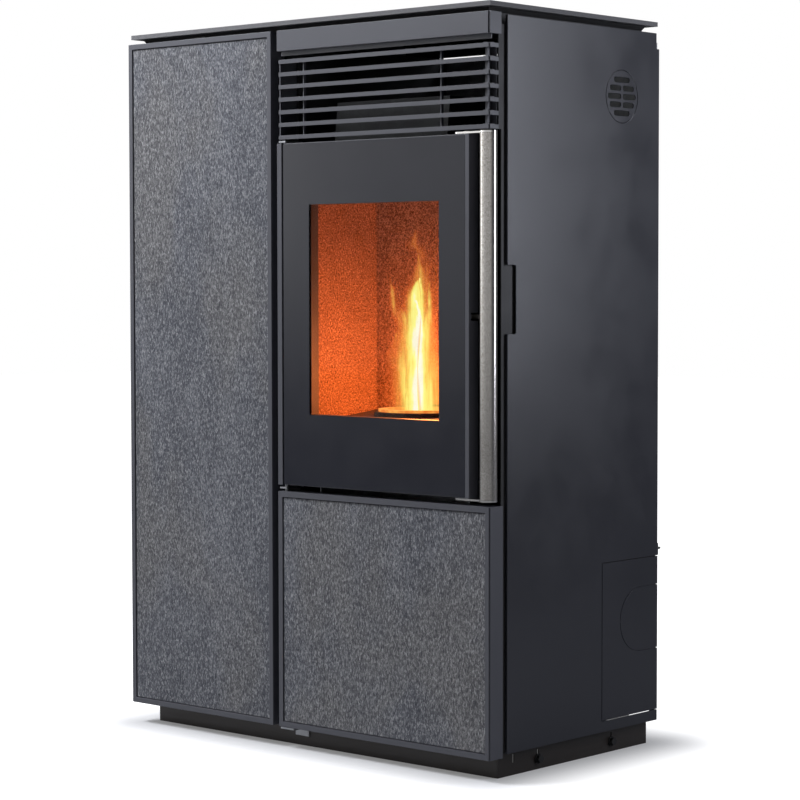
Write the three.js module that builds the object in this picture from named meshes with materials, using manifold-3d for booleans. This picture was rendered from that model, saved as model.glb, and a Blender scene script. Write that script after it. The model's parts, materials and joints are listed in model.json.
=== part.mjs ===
// Free-standing pellet stove with a fire door, a lower door and a tall side panel, as separate pieces.
// Millimetres, +Z up. The fire door faces -Y, and +X is the right-hand side seen from the front.
// The origin lies on the floor, under the middle of the whole footprint.
// Depths, written d, are measured back from the front faces of the doors.

import * as THREE from 'three';
import { mergeVertices } from 'three/addons/utils/BufferGeometryUtils.js';
import Module from 'manifold-3d';

const wasm = await Module();
wasm.setup();

// ---------------------------------------------------------------- driving dimensions

// whole stove
const HEIGHT = 1116;
const CABINET_DEPTH = 409; // front faces to the rear edges of the side panels
const PROBE_REACH = 18; // room probe beyond those rear edges
const SHEET = 2; // folded casing sheet
const SEAT = 0.3; // gap between pieces that touch
const RUN = 0.3; // radial clearance of a pin or shaft in its hole

// front layout
const TALL_PANEL_WIDTH = 322;
const PANEL_GAP = 13; // between the tall panel and the column
const COLUMN_WIDTH = 421; // header, louvers, fire door and lower door
const TALL_OVERHANG = 5.3; // tall panel beyond the left side panel
const PANEL_BOTTOM = 33.5;
const HEADER_TOP_DROP = 14.5; // top of header and tall panel below the top face
const DOOR_STRIP = 8.5; // frame face beside a tile
const TILE_GROOVE = 1; // shadow groove round a tile
const TILE_RECESS = 2;
const TILE_THICKNESS = 6;
const PANEL_RETURN = 25; // depth of the tall panel's folded edge
const LUG_HEIGHT = 30; // lugs that carry the tall panel
const LUG_WIDTH = 10;
const LUG_RISES = [116.5, 526.5, 946.5]; // lugs above the panel's lower edge
const LUG_INSET = 2; // right-hand lugs from the panel's edge
const CORNER_SEAM = 1.6; // open seam at a folded corner

// plinth and base
const PLINTH_HEIGHT = 37.7;
const PLINTH_FRONT = 39;
const PLINTH_SIDE_INSET = 17;
const PLINTH_FLANGE = 22;
const TAB_HEIGHT = 29.5; // underside of the panel tabs above the floor
const TAB_REACH = 27; // tabs in front of the plinth
const LEFT_TABS = [[76, 24], [173, 10]]; // distance from the left edge, width
const RIGHT_TAB = [60, 42]; // distance from the right edge, width
const KEYHOLE_DEPTHS = [133, 313];
const KEYHOLE_HEIGHT = 16;
const KEYHOLE_RADIUS = 5;
const KEYHOLE_NECK = 3;
const KEYHOLE_NECK_TOP = 30;
const PLINTH_SLOT_D = 74;
const PLINTH_SLOT_WIDTH = 3;
const PLINTH_SLOT = [18, 31]; // its lower and upper end
const BASE_SLOT_COUNT = 8;
const BASE_SLOT_FIRST = 120;
const BASE_SLOT_PITCH = 26;
const BASE_SLOT_WIDTH = 8;
const BASE_SLOT_LEFT = 90; // slots from the left side panel
const BASE_SLOT_RIGHT = 70; // slots from the divider
const DIVIDER_FLANGE = 18; // divider's front flange to the left of its web
const DIVIDER_LAP = 6; // the same flange behind the column
const POST_BACK = 62; // rear face of the corner post
const POST_FLANGE = 20;

// side panels
const SIDE_FRONT = 40;
const SIDE_TOP_DROP = 17;
const SIDE_HEM = 4; // folded front edge
const REAR_FLANGE = 14;
const TOP_NOTCH_HEIGHT = 24;
const TOP_NOTCH_DEPTH = 7;
const GRIP_LOW = 644;
const GRIP_HEIGHT = 99;
const GRIP_DEPTH = 19.3;
const GRIP_RADIUS = 3;
const VENT_RADIUS = 40.5;
const VENT_D = 313;
const VENT_DROP = 118.5; // vent centre below the top face
const VENT_SLOT_HEIGHT = 8;
const VENT_ROW_PITCH = 12.5;
const VENT_BRIDGE = 4;
const VENT_CORNER = 3.2; // radius of the slots' ends
const KNOCKOUT_LINE = 1.2;
const KNOCKOUT_DEPTH = 0.9;
const KNOCKOUT_BRIDGE = 2.4; // breaks left in the larger knock-out's line
const KNOCKOUT_EDGE = 4; // end of that line before the rear flange

// flue recess and its cover
const COVER_FRONT = 267.5;
const COVER_BOTTOM = 55.5;
const COVER_HEIGHT = 238.5;
const COVER_GAP = 1.2;
const COVER_LEDGE = 14;
const FLUE_INSET = 78; // flue centre from the right side panel
const FLUE_Z = 201;
const FLUE_RADIUS = 40;
const FLUE_KNOCKOUT_RADIUS = 50;
const FLUE_KNOCKOUT_D = 362;
const FLUE_WALL = 2;
const COLLAR_REACH = 45;
const RECESS_HALF = 84; // recess to the left of the flue centre
const RECESS_MARGIN = 5; // recess above the cover
const RECESS_CLEAR = 1; // recess in front of the cover's opening

// louvers
const LOUVER_COUNT = 7;
const LOUVER_PITCH = 19.15;
const LOUVER_FACE = 6.2;
const LOUVER_CHORD = 11;
const LOUVER_RISE = 4;
const LOUVER_INSET = 4; // louver faces behind the header's faces
const LOUVER_RETURN = 20.5;
const FIRST_LOUVER_DROP = 58.7; // top of the first louver below the top face
const SPACER_WIDTH = 2;
const SPACER_DEPTH = 5;
const GRILLE_POST = 3; // upright that joins the blades' returns
const SPACER_POSITIONS = [0.109, 0.761]; // along the column's width
const HEADER_HEIGHT = 31.5;
const HEADER_RETURN = 26.3;
const HEADER_LIP = 9;
const HEADER_LIP_D = 8;
const FRAME_DROP = 31; // top of divider, post and back panel below the top face

// lower door
const LOWER_DOOR_HEIGHT = 364.5;
const LOWER_DOOR_DEPTH = 30;
const STIFFENER_WIDTH = 25;
const STIFFENER_BACK = 20;
const STIFFENER_INSET = 4; // stiffener from the door's end
const STIFFENER_HEIGHT = 8;

// fire door
const DOOR_GAP = 10; // between the lower door and the fire door
const LOUVER_GAP = 6.2; // between the fire door and the lowest louver
const FIRE_DOOR_DEPTH = 21;
const GLASS_THICKNESS = 4.5;
const GLASS_MARGIN = 1.5; // glass inside the frame's top and bottom
const GLASS_LEFT_STRIP = 9.4;
const GLASS_LEFT_GAP = 3.6;
const GLASS_RIGHT_STRIP = 7.2;
const WINDOW_LEFT = 66.8; // window from each edge of the door
const WINDOW_RIGHT = 56.7;
const WINDOW_BOTTOM = 109.7;
const WINDOW_TOP = 94;
const CASTING = 4; // fire door frame and firebox steel
const GASKET_WIDTH = 8;
const GASKET_MARGIN = 4; // rope above and below the firebox's mouth

// hinges
const HINGE_INSET = 7; // axis from the doors' left edge
const HINGE_DEPTH = 12;
const HINGE_PIN_RADIUS = 3;
const HINGE_PIN_LENGTH = 13;
const HINGE_HOLE_ROOM = 3; // hole beyond the pin's end
const BRACKET_WIDTH = 14;
const BRACKET_FRONT = 4;
const BRACKET_THICKNESS = 2.5;
const BRACKET_FLANGE = 26;
const LOWER_BRACKET_WIDTH = 28;
const LOWER_BRACKET_FLANGE = 14;
const LOWER_PIN_LENGTH = 15;
const BRACKET_ABOVE = 1.5; // upper bracket above the fire door
const BRACKET_BELOW = 3.5; // middle bracket below the fire door

// handle and latch
const TUBE_RADIUS = 13;
const TUBE_WALL = 1.5;
const ARM_THICKNESS = 2.7;
const ARM_WIDTH = 14;
const ARM_CORNER = 6.5;
const ARM_GAP = 1; // arm to the door's edge
const ARM_TAIL = 20; // arm beyond the pivot
const FINGER_ROOM = 12.2; // between the tube and the fire door
const PIVOT_INSET = 16.1; // pivot from the fire door's right edge
const PIVOT_DEPTH = 15;
const SHAFT_REACH = 1; // shaft beyond the arms
const SHAFT_RADIUS = 4;
const CAM_THICKNESS = 6;
const CAM_REACH = 26;
const CAM_WIDTH = 6;
const CAM_ARM = 5; // depth of the cam's arm behind the pivot
const CAM_HUB = 1.5; // hub beyond the shaft
const CAM_TIP_BEHIND = 4; // cam tip behind the firebox's front face
const CAM_ROOM = 3; // slot above and below the cam
const KEEPER_THICKNESS = 3;
const KEEPER_MARGIN = 12; // keeper above and below the cam
const KEEPER_LAP = 4; // keeper to the right of the cam's tip
const KEEPER_DEPTH = 30;

// firebox
const LINING_SHOULDER = 26.5; // lining beyond each side of the window
const FIRE_FRONT = 30.3; // front face of the steel shell
const FIRE_BACK = 182; // face of the rear lining
const LINING = 20;
const SHELL_RISE = 24; // firebox floor above the fire door's lower edge
const SHELL_DROP = 25; // firebox top below the fire door's upper edge
const SMOKE_SPACE = 8.9; // above the baffle
const BAFFLE_THICKNESS = 12;
const BAFFLE_FRONT = 75;
const MOUTH_RISE = 48; // mouth above the firebox's floor
const MOUTH_DROP = 21; // mouth below the firebox's top
const POT_D = 105;
const POT_RADIUS = 54;
const POT_DEPTH = 60;
const POT_WALL = 5;
const POT_FLANGE = 8;
const POT_RIM = 4;
const POT_HOLE_RADIUS = 3;
const POT_HOLE_RINGS = [[16, 5], [34, 10]]; // radius of a ring of holes, number of holes
const POT_LIFT = 1; // pot flange above the hearth
const HOLDER_HEIGHT = 60;
const HOLDER_HALF_WIDTH = 66; // square tube that carries the hearth and holds the pot
const HOLDER_HALF_DEPTH = 60;
const THROAT_HALF_WIDTH = 40; // ash throat under the pot
const THROAT_HALF_DEPTH = 35;
const FRONT_PLATE = 3;
const IGNITER_HEIGHT = 48; // above the firebox's floor
const IGNITER_RADIUS = 5;
const IGNITER_COLLAR = 7;
const IGNITER_TAIL = 24;
const IGNITER_ROOM = 2; // pot's hole wider than the igniter
const IGNITER_GAP = 1; // igniter's tip to the pot's wall
const GAS_SLOT_HALF = 90; // half the length of the smoke slot in the firebox's top
const GAS_SLOT_D = 160;
const GAS_SLOT_DEPTH = 35;
const HEARTH_HEIGHT = 98; // crown above the firebox's floor
const HEARTH_ARCH = 12;
const HEARTH_SLOPE = 0.1;
const HEARTH_THICKNESS = 14;
const HEARTH_BOSS = 14; // raised seat beyond the pot's wall
const HEARTH_SKIRT = 22; // hearth's foot above the pot holder
const CHUTE_WIDTH = 60;
const CHUTE_RISE = 164; // chute mouth above the firebox's floor
const CHUTE_HEIGHT = 80;
const CHUTE_SLOPE = 52; // rise of the chute's floor
const CHUTE_ROOM = 5; // chute box beyond the auger tube
const HOOD_HALF_WIDTH = 112;
const HOOD_FRONT = 36;
const HOOD_HEIGHT = 85;
const HOOD_SLOPE = 10;

// ash drawer and its housing
const HOUSING_INSET = 30.3; // housing inside the firebox's width
const HOUSING_FRONT = 45;
const HOUSING_BACK = 200;
const SHELF_DROP = 116; // drawer's shelf below the firebox's floor
const DRAWER_HEIGHT = 70;
const DRAWER_WALL = 1.5;
const DRAWER_DEPTH = 140;
const DRAWER_FRONT_HEIGHT = 74;
const DRAWER_PULL = 8;
const DRAWER_PULL_HALF = 60;

// hopper and feed
const DIVIDER_INSET = 7; // divider to the left of the column
const HOPPER_SIDE_GAP = 22.7; // hopper to the casing's outside
const HOPPER_DIVIDER_GAP = 22;
const HOPPER_FRONT = 60;
const HOPPER_BACK = 330;
const HOPPER_RIM_DROP = 14.3; // rim below the top face
const HOPPER_SHOULDER = 760;
const HOPPER_THROAT_Z = 560;
const HOPPER_SHEET = 1.5;
const HOPPER_FLANGE = 14;
const THROAT_START = 10; // hopper throat from the auger's lower end
const THROAT_LENGTH = 60;
const THROAT_HALF = 26;
const THROAT_LEDGE = 6; // tube's wall left under each side of the throat
const GRID_DROP = 105;
const GRID_BAR = 6;
const GRID_THICKNESS = 3;
const GRID_COLUMNS = 4;
const GRID_ROWS = 3;
const AUGER_START = 95; // screw's lower end from the hopper's left wall
const AUGER_Z0 = 455;
const AUGER_OFFSET = 3.3; // screw's upper end to the left of the firebox's middle
const AUGER_DROP = 104; // screw's upper end above the chute's mouth
const AUGER_D = 245;
const AUGER_TUBE_RADIUS = 30;
const AUGER_TUBE_WALL = 2.5;
const SCREW_RADIUS = 25;
const SCREW_PITCH = 42;
const SCREW_SHAFT = 8;
const SCREW_FLIGHT = 3;
const SCREW_END_GAP = 4;
const SCREW_TAIL = 6;
const SCREW_TAIL_LENGTH = 22;
const GEARBOX_LENGTH = 45;
const GEAR_MOTOR_RADIUS = 26;
const GEAR_MOTOR_LENGTH = 50;

// top
const TOP_THICKNESS = 6.8;
const TOP_FRONT = 1.5;
const TOP_BACK_INSET = 3.5;
const TOP_RIGHT_INSET = 0.7;
const NECK_INSET = 17.5;
const NECK_FLARE = 4; // neck wider at its top on every side
const NECK_WALL = 3;
const CATCH_LEFT = 140; // catch tab from the stove's left edge
const CATCH_WIDTH = 25;
const CATCH_REACH = 6;
const CATCH_GAP = 1.5;
const LID_GAP = 2;
const LID_ROD_REACH = 11.5; // rod beyond the lid at each end
const FINGER_NOTCH_WIDTH = 90;
const FINGER_NOTCH_DEPTH = 7;
const SEAL_WIDTH = 8; // rope on the hopper's rim
const LID_MARGIN = 12; // lid beyond the hopper's walls
const LID_ROD_RADIUS = 1.6;
const DISPLAY_WIDTH = 120;
const DISPLAY_HEIGHT = 46;
const DISPLAY_THICKNESS = 3;
const DISPLAY_SIDE = 70; // display from the casing's right and rear
const DISPLAY_REAR = 45;

// fans, air and power
const SMOKE_FAN_OFFSET = 71.7; // fan to the right of the firebox's middle
const SMOKE_FAN_Z = 160;
const SMOKE_FAN_RADIUS = 85;
const SMOKE_FAN_FRONT = 207;
const SMOKE_FAN_DEPTH = 49;
const DUCT_OFFSET = 12; // duct's left wall to the left of the fan's axis
const DUCT_WIDTH = 52;
const DUCT_DEPTH = 43;
const DUCT_BOTTOM = 260;
const SMOKE_MOTOR_RADIUS = 45;
const SMOKE_MOTOR_LENGTH = 56;
const MOTOR_SHAFT = 4;
const FAN_HUB_RADIUS = 10;
const MOTOR_HOLE_ROOM = 4; // hole in the drawer housing round the smoke motor
const IMPELLER_RADIUS = 70;
const IMPELLER_BLADES = 8;
const IMPELLER_GAP = 4;
const ROOM_FAN_SIDE = 15; // room fan from the divider and from the smoke fan
const ROOM_FAN_D = 320;
const ROOM_FAN_Z = 150;
const ROOM_FAN_RADIUS = 74;
const ROOM_FAN_TOP = 262;
const ROOM_FAN_INLET = 45;
const ROOM_MOTOR_RADIUS = 30;
const ROOM_MOTOR_LENGTH = 42;
const CAGE_RADIUS = 66;
const CAGE_DEPTH = 10;
const CAGE_GAP = 4;
const CAGE_HUB = 18;
const CAGE_BLADES = 13;
const FOOT_HALF = 30;
const FOOT_INSET = 15;
const GRILLE_ROWS = 9; // slots in the back panel behind the room fan
const GRILLE_BOTTOM = 80;
const GRILLE_PITCH = 15;
const GRILLE_SLOT = 5;
const GRILLE_INSET = 10;
const INTAKE_OFFSET = 63.3; // pipe to the left of the firebox's middle
const INTAKE_RISE = 56; // pipe above the drawer's shelf
const INTAKE_RADIUS = 25;
const INTAKE_WALL = 1.5;
const INTAKE_STUB = 12;
const INLET_SIDE = 72.7; // inlet from the casing's left side
const INLET_Z = 90;
const SWITCH_SPACING = 40;
const SOCKET_HALF_WIDTH = 10;
const SOCKET_HALF_HEIGHT = 14;
const SOCKET_PIN_PITCH = 6;
const SOCKET_PIN_HALF = [1, 2];
const INLET_HALF_WIDTH = 14;
const INLET_HALF_HEIGHT = 20;
const INLET_DEPTH = 14;
const INLET_FLANGE = 4;
const ROCKER_HALF_WIDTH = 8;
const ROCKER_HALF_HEIGHT = 10;
const ROCKER_PIN = 1.5;
const ROCKER_PIN_REACH = 2;
const ROCKER_BACK = 8; // rocker inside the casing's rear face
const ROCKER_RISE = [1, 1.8, 4.2]; // rocker beyond that face at its lower end, middle and upper end
const ROCKER_TAPER = 2;
const BOARD_THICKNESS = 45;
const BOARD_FRONT = 100;
const BOARD_WIDTH = 150;
const BOARD_BOTTOM = 120;
const BOARD_HEIGHT = 210;
const PROBE_CLIP_WIDTH = 12;
const PROBE_CLIP_DEPTH = 3;
const PROBE_CLIP_HEIGHT = 18;
const PROBE_INSET = 9;
const PROBE_SIDE = 1;
const PROBE_RADIUS = 1.8;

// ---------------------------------------------------------------- places worked out from them

const WIDTH = TALL_PANEL_WIDTH + PANEL_GAP + COLUMN_WIDTH;
const LEFT = -WIDTH / 2;
const RIGHT = WIDTH / 2;
const FRONT = -(CABINET_DEPTH + PROBE_REACH) / 2;
const deep = (d) => FRONT + d;

// casing
const CASE_LEFT = LEFT + TALL_OVERHANG;
const CASE_RIGHT = RIGHT;
const CASE_IN_LEFT = CASE_LEFT + SHEET;
const CASE_IN_RIGHT = CASE_RIGHT - SHEET;
const COLUMN_LEFT = RIGHT - COLUMN_WIDTH;
const DIVIDER_X = COLUMN_LEFT - DIVIDER_INSET;
const HEADER_TOP = HEIGHT - HEADER_TOP_DROP;
const HEADER_BOTTOM = HEADER_TOP - HEADER_HEIGHT;
const SIDE_TOP = HEIGHT - SIDE_TOP_DROP;
const BASE_Z = PLINTH_HEIGHT + SEAT;
const FLOOR_Z = BASE_Z + SHEET + SEAT; // what stands on the base plate starts here
const PLATE_Z = HEIGHT - TOP_THICKNESS;
const NECK_TOP = PLATE_Z - SEAT;
const NECK_D0 = TOP_FRONT + NECK_INSET;
const NECK_X0 = CASE_LEFT + NECK_INSET;
const FRAME_TOP = HEIGHT - FRAME_DROP;
const NECK_BOTTOM = FRAME_TOP + SEAT;
const LOUVER_TOP = HEIGHT - FIRST_LOUVER_DROP;
const LOUVER_BOTTOM = LOUVER_TOP - (LOUVER_COUNT - 1) * LOUVER_PITCH - LOUVER_FACE;
const LOUVER_END = LOUVER_INSET + LOUVER_RETURN;
const BACK_D = CABINET_DEPTH - SHEET - SEAT - SHEET; // front face of the back panel
const POST_OUT = CASE_RIGHT - SIDE_HEM - SEAT;
const INSIDE_FRONT = SIDE_FRONT + SHEET + SEAT; // just behind the side panels' hems

// doors
const LOWER_DOOR_TOP = PANEL_BOTTOM + LOWER_DOOR_HEIGHT;
const FIRE_DOOR_BOTTOM = LOWER_DOOR_TOP + DOOR_GAP;
const FIRE_DOOR_TOP = LOUVER_BOTTOM - LOUVER_GAP;
const HANDLE_BAY = 2 * TUBE_RADIUS + SEAT + FINGER_ROOM; // column to the right of the fire door
const FIRE_DOOR_RIGHT = RIGHT - HANDLE_BAY;
const TUBE_X = RIGHT - TUBE_RADIUS - SEAT;
const PIVOT_X = FIRE_DOOR_RIGHT - PIVOT_INSET;
const HINGE_X = COLUMN_LEFT + HINGE_INSET;
const MIDDLE_Z = FIRE_DOOR_BOTTOM - BRACKET_BELOW - BRACKET_THICKNESS; // underside of the middle bracket
const WINDOW_X0 = COLUMN_LEFT + WINDOW_LEFT;
const WINDOW_X1 = FIRE_DOOR_RIGHT - WINDOW_RIGHT;
const WINDOW_Z0 = FIRE_DOOR_BOTTOM + WINDOW_BOTTOM;
const WINDOW_Z1 = FIRE_DOOR_TOP - WINDOW_TOP;

// firebox
const FIRE_X = (WINDOW_X0 + WINDOW_X1) / 2; // middle of window, firebox, pot and drawer
const FIRE_HALF = (WINDOW_X1 - WINDOW_X0) / 2 + LINING_SHOULDER; // middle to the lining's face
const SHELL_HALF = FIRE_HALF + LINING + SEAT + CASTING;
const SHELL_BACK = FIRE_BACK + LINING + 2 * SEAT + CASTING;
const SHELL_BOTTOM = FIRE_DOOR_BOTTOM + SHELL_RISE;
const SHELL_TOP = FIRE_DOOR_TOP - SHELL_DROP;
const MOUTH_BOTTOM = SHELL_BOTTOM + MOUTH_RISE;
const MOUTH_TOP = SHELL_TOP - MOUTH_DROP;
const LINING_BOTTOM = SHELL_BOTTOM + CASTING + SEAT;
const LINING_TOP = SHELL_TOP - CASTING - SMOKE_SPACE - BAFFLE_THICKNESS - SEAT;
const HEARTH_CROWN = SHELL_BOTTOM + HEARTH_HEIGHT;
const POT_TOP = HEARTH_CROWN - HEARTH_SLOPE * (FIRE_BACK - POT_D) + POT_LIFT;
const HOLDER_TOP = SHELL_BOTTOM + HOLDER_HEIGHT;
const IGNITER_Z = SHELL_BOTTOM + IGNITER_HEIGHT;
const CHUTE_BOTTOM = SHELL_BOTTOM + CHUTE_RISE;
const SHELF_Z = SHELL_BOTTOM - SHELF_DROP;
const HOUSING_HALF = SHELL_HALF - HOUSING_INSET;

// hopper and feed
const HOPPER_LEFT = CASE_LEFT + HOPPER_SIDE_GAP;
const HOPPER_RIGHT = DIVIDER_X - HOPPER_DIVIDER_GAP;
const HOPPER_TOP = HEIGHT - HOPPER_RIM_DROP;
const AUGER_X0 = HOPPER_LEFT + AUGER_START;
const AUGER_X1 = FIRE_X - AUGER_OFFSET;
const AUGER_Z1 = CHUTE_BOTTOM + AUGER_DROP;
const LID_X0 = HOPPER_LEFT;
const LID_X1 = HOPPER_RIGHT + LID_MARGIN;
const LID_D0 = HOPPER_FRONT - LID_MARGIN;
const LID_D1 = HOPPER_BACK + LID_MARGIN;
const LID_ROD_Z = HEIGHT - TOP_THICKNESS / 2;
const LID_ROD_D = LID_D1 - TOP_THICKNESS / 2;

// flue, fans and power
const COVER_TOP = COVER_BOTTOM + COVER_HEIGHT;
const FLUE_X = CASE_RIGHT - FLUE_INSET;
const RECESS_LEFT = FLUE_X - RECESS_HALF;
const RECESS_FRONT = COVER_FRONT - COVER_GAP - SHEET - RECESS_CLEAR;
const RECESS_TOP = COVER_TOP + RECESS_MARGIN;
const SMOKE_FAN_X = FIRE_X + SMOKE_FAN_OFFSET;
const DUCT_LEFT = SMOKE_FAN_X - DUCT_OFFSET;
const ROOM_FAN_LEFT = DIVIDER_X + ROOM_FAN_SIDE;
const ROOM_FAN_RIGHT = SMOKE_FAN_X - SMOKE_FAN_RADIUS - ROOM_FAN_SIDE;
const INTAKE_X = FIRE_X - INTAKE_OFFSET;
const INTAKE_Z = SHELF_Z + INTAKE_RISE;
const INLET_X = CASE_LEFT + INLET_SIDE;
const ROCKER_D = BACK_D - SHEET;

// ---------------------------------------------------------------- shape helpers

const OVER = 1; // how far a cutter reaches beyond what it cuts

// A closed geometry as a solid that can be joined and cut.
// Its points are rounded so that faces meant to lie in one plane do so exactly.
function solid(geometry) {
  const bare = new THREE.BufferGeometry();
  bare.setAttribute('position', geometry.getAttribute('position'));
  bare.setIndex(geometry.index);
  const merged = mergeVertices(bare, 1e-4);
  const index = merged.index.array;
  const faces = [];
  for (let i = 0; i < index.length; i += 3) {
    const [a, b, c] = [index[i], index[i + 1], index[i + 2]];
    if (a !== b && b !== c && c !== a) faces.push(a, b, c);
  }
  return new wasm.Manifold(
    new wasm.Mesh({
      numProp: 3,
      vertProperties: merged.getAttribute('position').array.map((value) => Math.round(value * 1e4) / 1e4),
      triVerts: new Uint32Array(faces),
    }),
  );
}

const join = (...parts) => parts.flat().reduce((whole, part) => whole.add(part));
const cut = (body, ...tools) => tools.flat().reduce((rest, tool) => rest.subtract(tool), body);

// A box between two limits on each axis.
function box([x0, x1], [y0, y1], [z0, z1]) {
  const geometry = new THREE.BoxGeometry(x1 - x0, y1 - y0, z1 - z0);
  return solid(geometry.translate((x0 + x1) / 2, (y0 + y1) / 2, (z0 + z1) / 2));
}

// The same with y given as depths behind the front.
const block = (xs, depths, zs) => box(xs, depths.map(deep), zs);

const AXES = {
  x: new THREE.Matrix4().makeBasis(
    new THREE.Vector3(0, 1, 0), new THREE.Vector3(0, 0, 1), new THREE.Vector3(1, 0, 0)),
  y: new THREE.Matrix4().makeBasis(
    new THREE.Vector3(1, 0, 0), new THREE.Vector3(0, 0, 1), new THREE.Vector3(0, -1, 0)),
  z: new THREE.Matrix4(),
};

// An outline pushed along an axis from one place to another.
// Outlines are drawn in (x, d) along z, in (x, z) along y, and in (d, z) along x.
function prism(shape, axis, from, to, curveSegments = 8) {
  const geometry = new THREE.ExtrudeGeometry(shape, {
    depth: to - from,
    bevelEnabled: false,
    curveSegments,
  });
  geometry.applyMatrix4(AXES[axis]);
  const move = { x: [from, FRONT, 0], y: [0, deep(to), 0], z: [0, FRONT, from] }[axis];
  return solid(geometry.translate(...move));
}

// A straight-sided outline through points.
function outline(points) {
  return new THREE.Shape(points.map(([a, b]) => new THREE.Vector2(a, b)));
}

// A rectangular outline with round corners.
function roundedRectangle([a0, a1], [b0, b1], radius) {
  const shape = new THREE.Shape();
  shape.absarc(a1 - radius, b0 + radius, radius, -Math.PI / 2, 0);
  shape.absarc(a1 - radius, b1 - radius, radius, 0, Math.PI / 2);
  shape.absarc(a0 + radius, b1 - radius, radius, Math.PI / 2, Math.PI);
  shape.absarc(a0 + radius, b0 + radius, radius, Math.PI, 1.5 * Math.PI);
  shape.closePath();
  return shape;
}

// A round bar along an axis; its centre is given in the outline's plane.
function rod(a, b, radius, axis, from, to, segments = 24) {
  const disc = new THREE.Shape().absarc(a, b, radius, 0, 2 * Math.PI);
  return prism(disc, axis, from, to, segments / 2);
}

// A round tube along an axis.
function pipe(a, b, radius, wall, axis, from, to, segments = 32) {
  const bore = rod(a, b, radius - wall, axis, from - OVER, to + OVER, segments);
  return cut(rod(a, b, radius, axis, from, to, segments), bore);
}

// Limits in x to both sides of the firebox's middle.
const fireSpan = (half) => [FIRE_X - half, FIRE_X + half];

// A frame of four sides: a block with a smaller block taken out along y.
function ring([x0, x1], depths, [z0, z1], width) {
  const through = [depths[0] - OVER, depths[1] + OVER];
  const hole = block([x0 + width, x1 - width], through, [z0 + width, z1 - width]);
  return cut(block([x0, x1], depths, [z0, z1]), hole);
}

// A frame of four sides that is open along z.
function curb([x0, x1], [d0, d1], [z0, z1], width) {
  const hole = block([x0 + width, x1 - width], [d0 + width, d1 - width], [z0 - OVER, z1 + OVER]);
  return cut(block([x0, x1], [d0, d1], [z0, z1]), hole);
}

// The corners of a rectangle at a height, as one row of a loft.
function rectangle([x0, x1], [d0, d1], z) {
  return [[x0, deep(d0), z], [x1, deep(d0), z], [x1, deep(d1), z], [x0, deep(d1), z]];
}

// A closed skin over rows of points that each go once round the body.
function loft(rows) {
  const count = rows[0].length;
  const positions = rows.flat(2);
  const faces = [];
  for (let row = 0; row < rows.length - 1; row += 1) {
    for (let i = 0; i < count; i += 1) {
      const next = (i + 1) % count;
      const [a, b] = [row * count + i, row * count + next];
      const [c, d] = [a + count, b + count];
      faces.push(a, b, d, a, d, c);
    }
  }
  const last = (rows.length - 1) * count;
  for (let i = 1; i < count - 1; i += 1) {
    faces.push(0, i + 1, i);
    faces.push(last, last + i, last + i + 1);
  }
  const geometry = new THREE.BufferGeometry();
  geometry.setAttribute('position', new THREE.Float32BufferAttribute(positions, 3));
  geometry.setIndex(faces);
  return solid(geometry);
}

// ---------------------------------------------------------------- materials

const material = (color, roughness, metalness) =>
  new THREE.MeshStandardMaterial({ color, roughness, metalness });

const MATERIALS = {
  anthracite: material(0x4a4c53, 0.5, 0.35),
  frameGrey: material(0x5f5f64, 0.45, 0.35),
  plinthBlack: material(0x28211d, 0.6, 0.3),
  blackSheet: material(0x141414, 0.6, 0.3),
  tile: material(0x696c73, 0.75, 0),
  topStone: material(0x6a6868, 0.7, 0.1),
  glass: material(0x33363c, 0.08, 0),
  steel: material(0xb9b2ab, 0.28, 1),
  polished: material(0xe6e4e2, 0.12, 1),
  castIron: material(0x2a2624, 0.8, 0.4),
  galvanised: material(0x8d9093, 0.45, 0.8),
  vermiculite: material(0xb5683a, 0.95, 0),
  rope: material(0x3a3a38, 1, 0),
  plastic: material(0x17181a, 0.5, 0),
  ceramic: material(0xe8e2d6, 0.6, 0),
};

const stove = new THREE.Group();

// Puts a finished solid into the stove as a named mesh.
function add(name, materialName, body) {
  const { numProp, vertProperties, triVerts } = body.getMesh();
  const positions = new Float32Array((vertProperties.length / numProp) * 3);
  for (let i = 0; i < positions.length / 3; i += 1) {
    positions.set(vertProperties.subarray(i * numProp, i * numProp + 3), i * 3);
  }
  const geometry = new THREE.BufferGeometry();
  geometry.setAttribute('position', new THREE.BufferAttribute(positions, 3));
  geometry.setIndex(new THREE.BufferAttribute(new Uint32Array(triVerts), 1));
  geometry.computeVertexNormals();
  const mesh = new THREE.Mesh(geometry, MATERIALS[materialName]);
  mesh.name = name;
  stove.add(mesh);
}

// ---------------------------------------------------------------- casing

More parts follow.
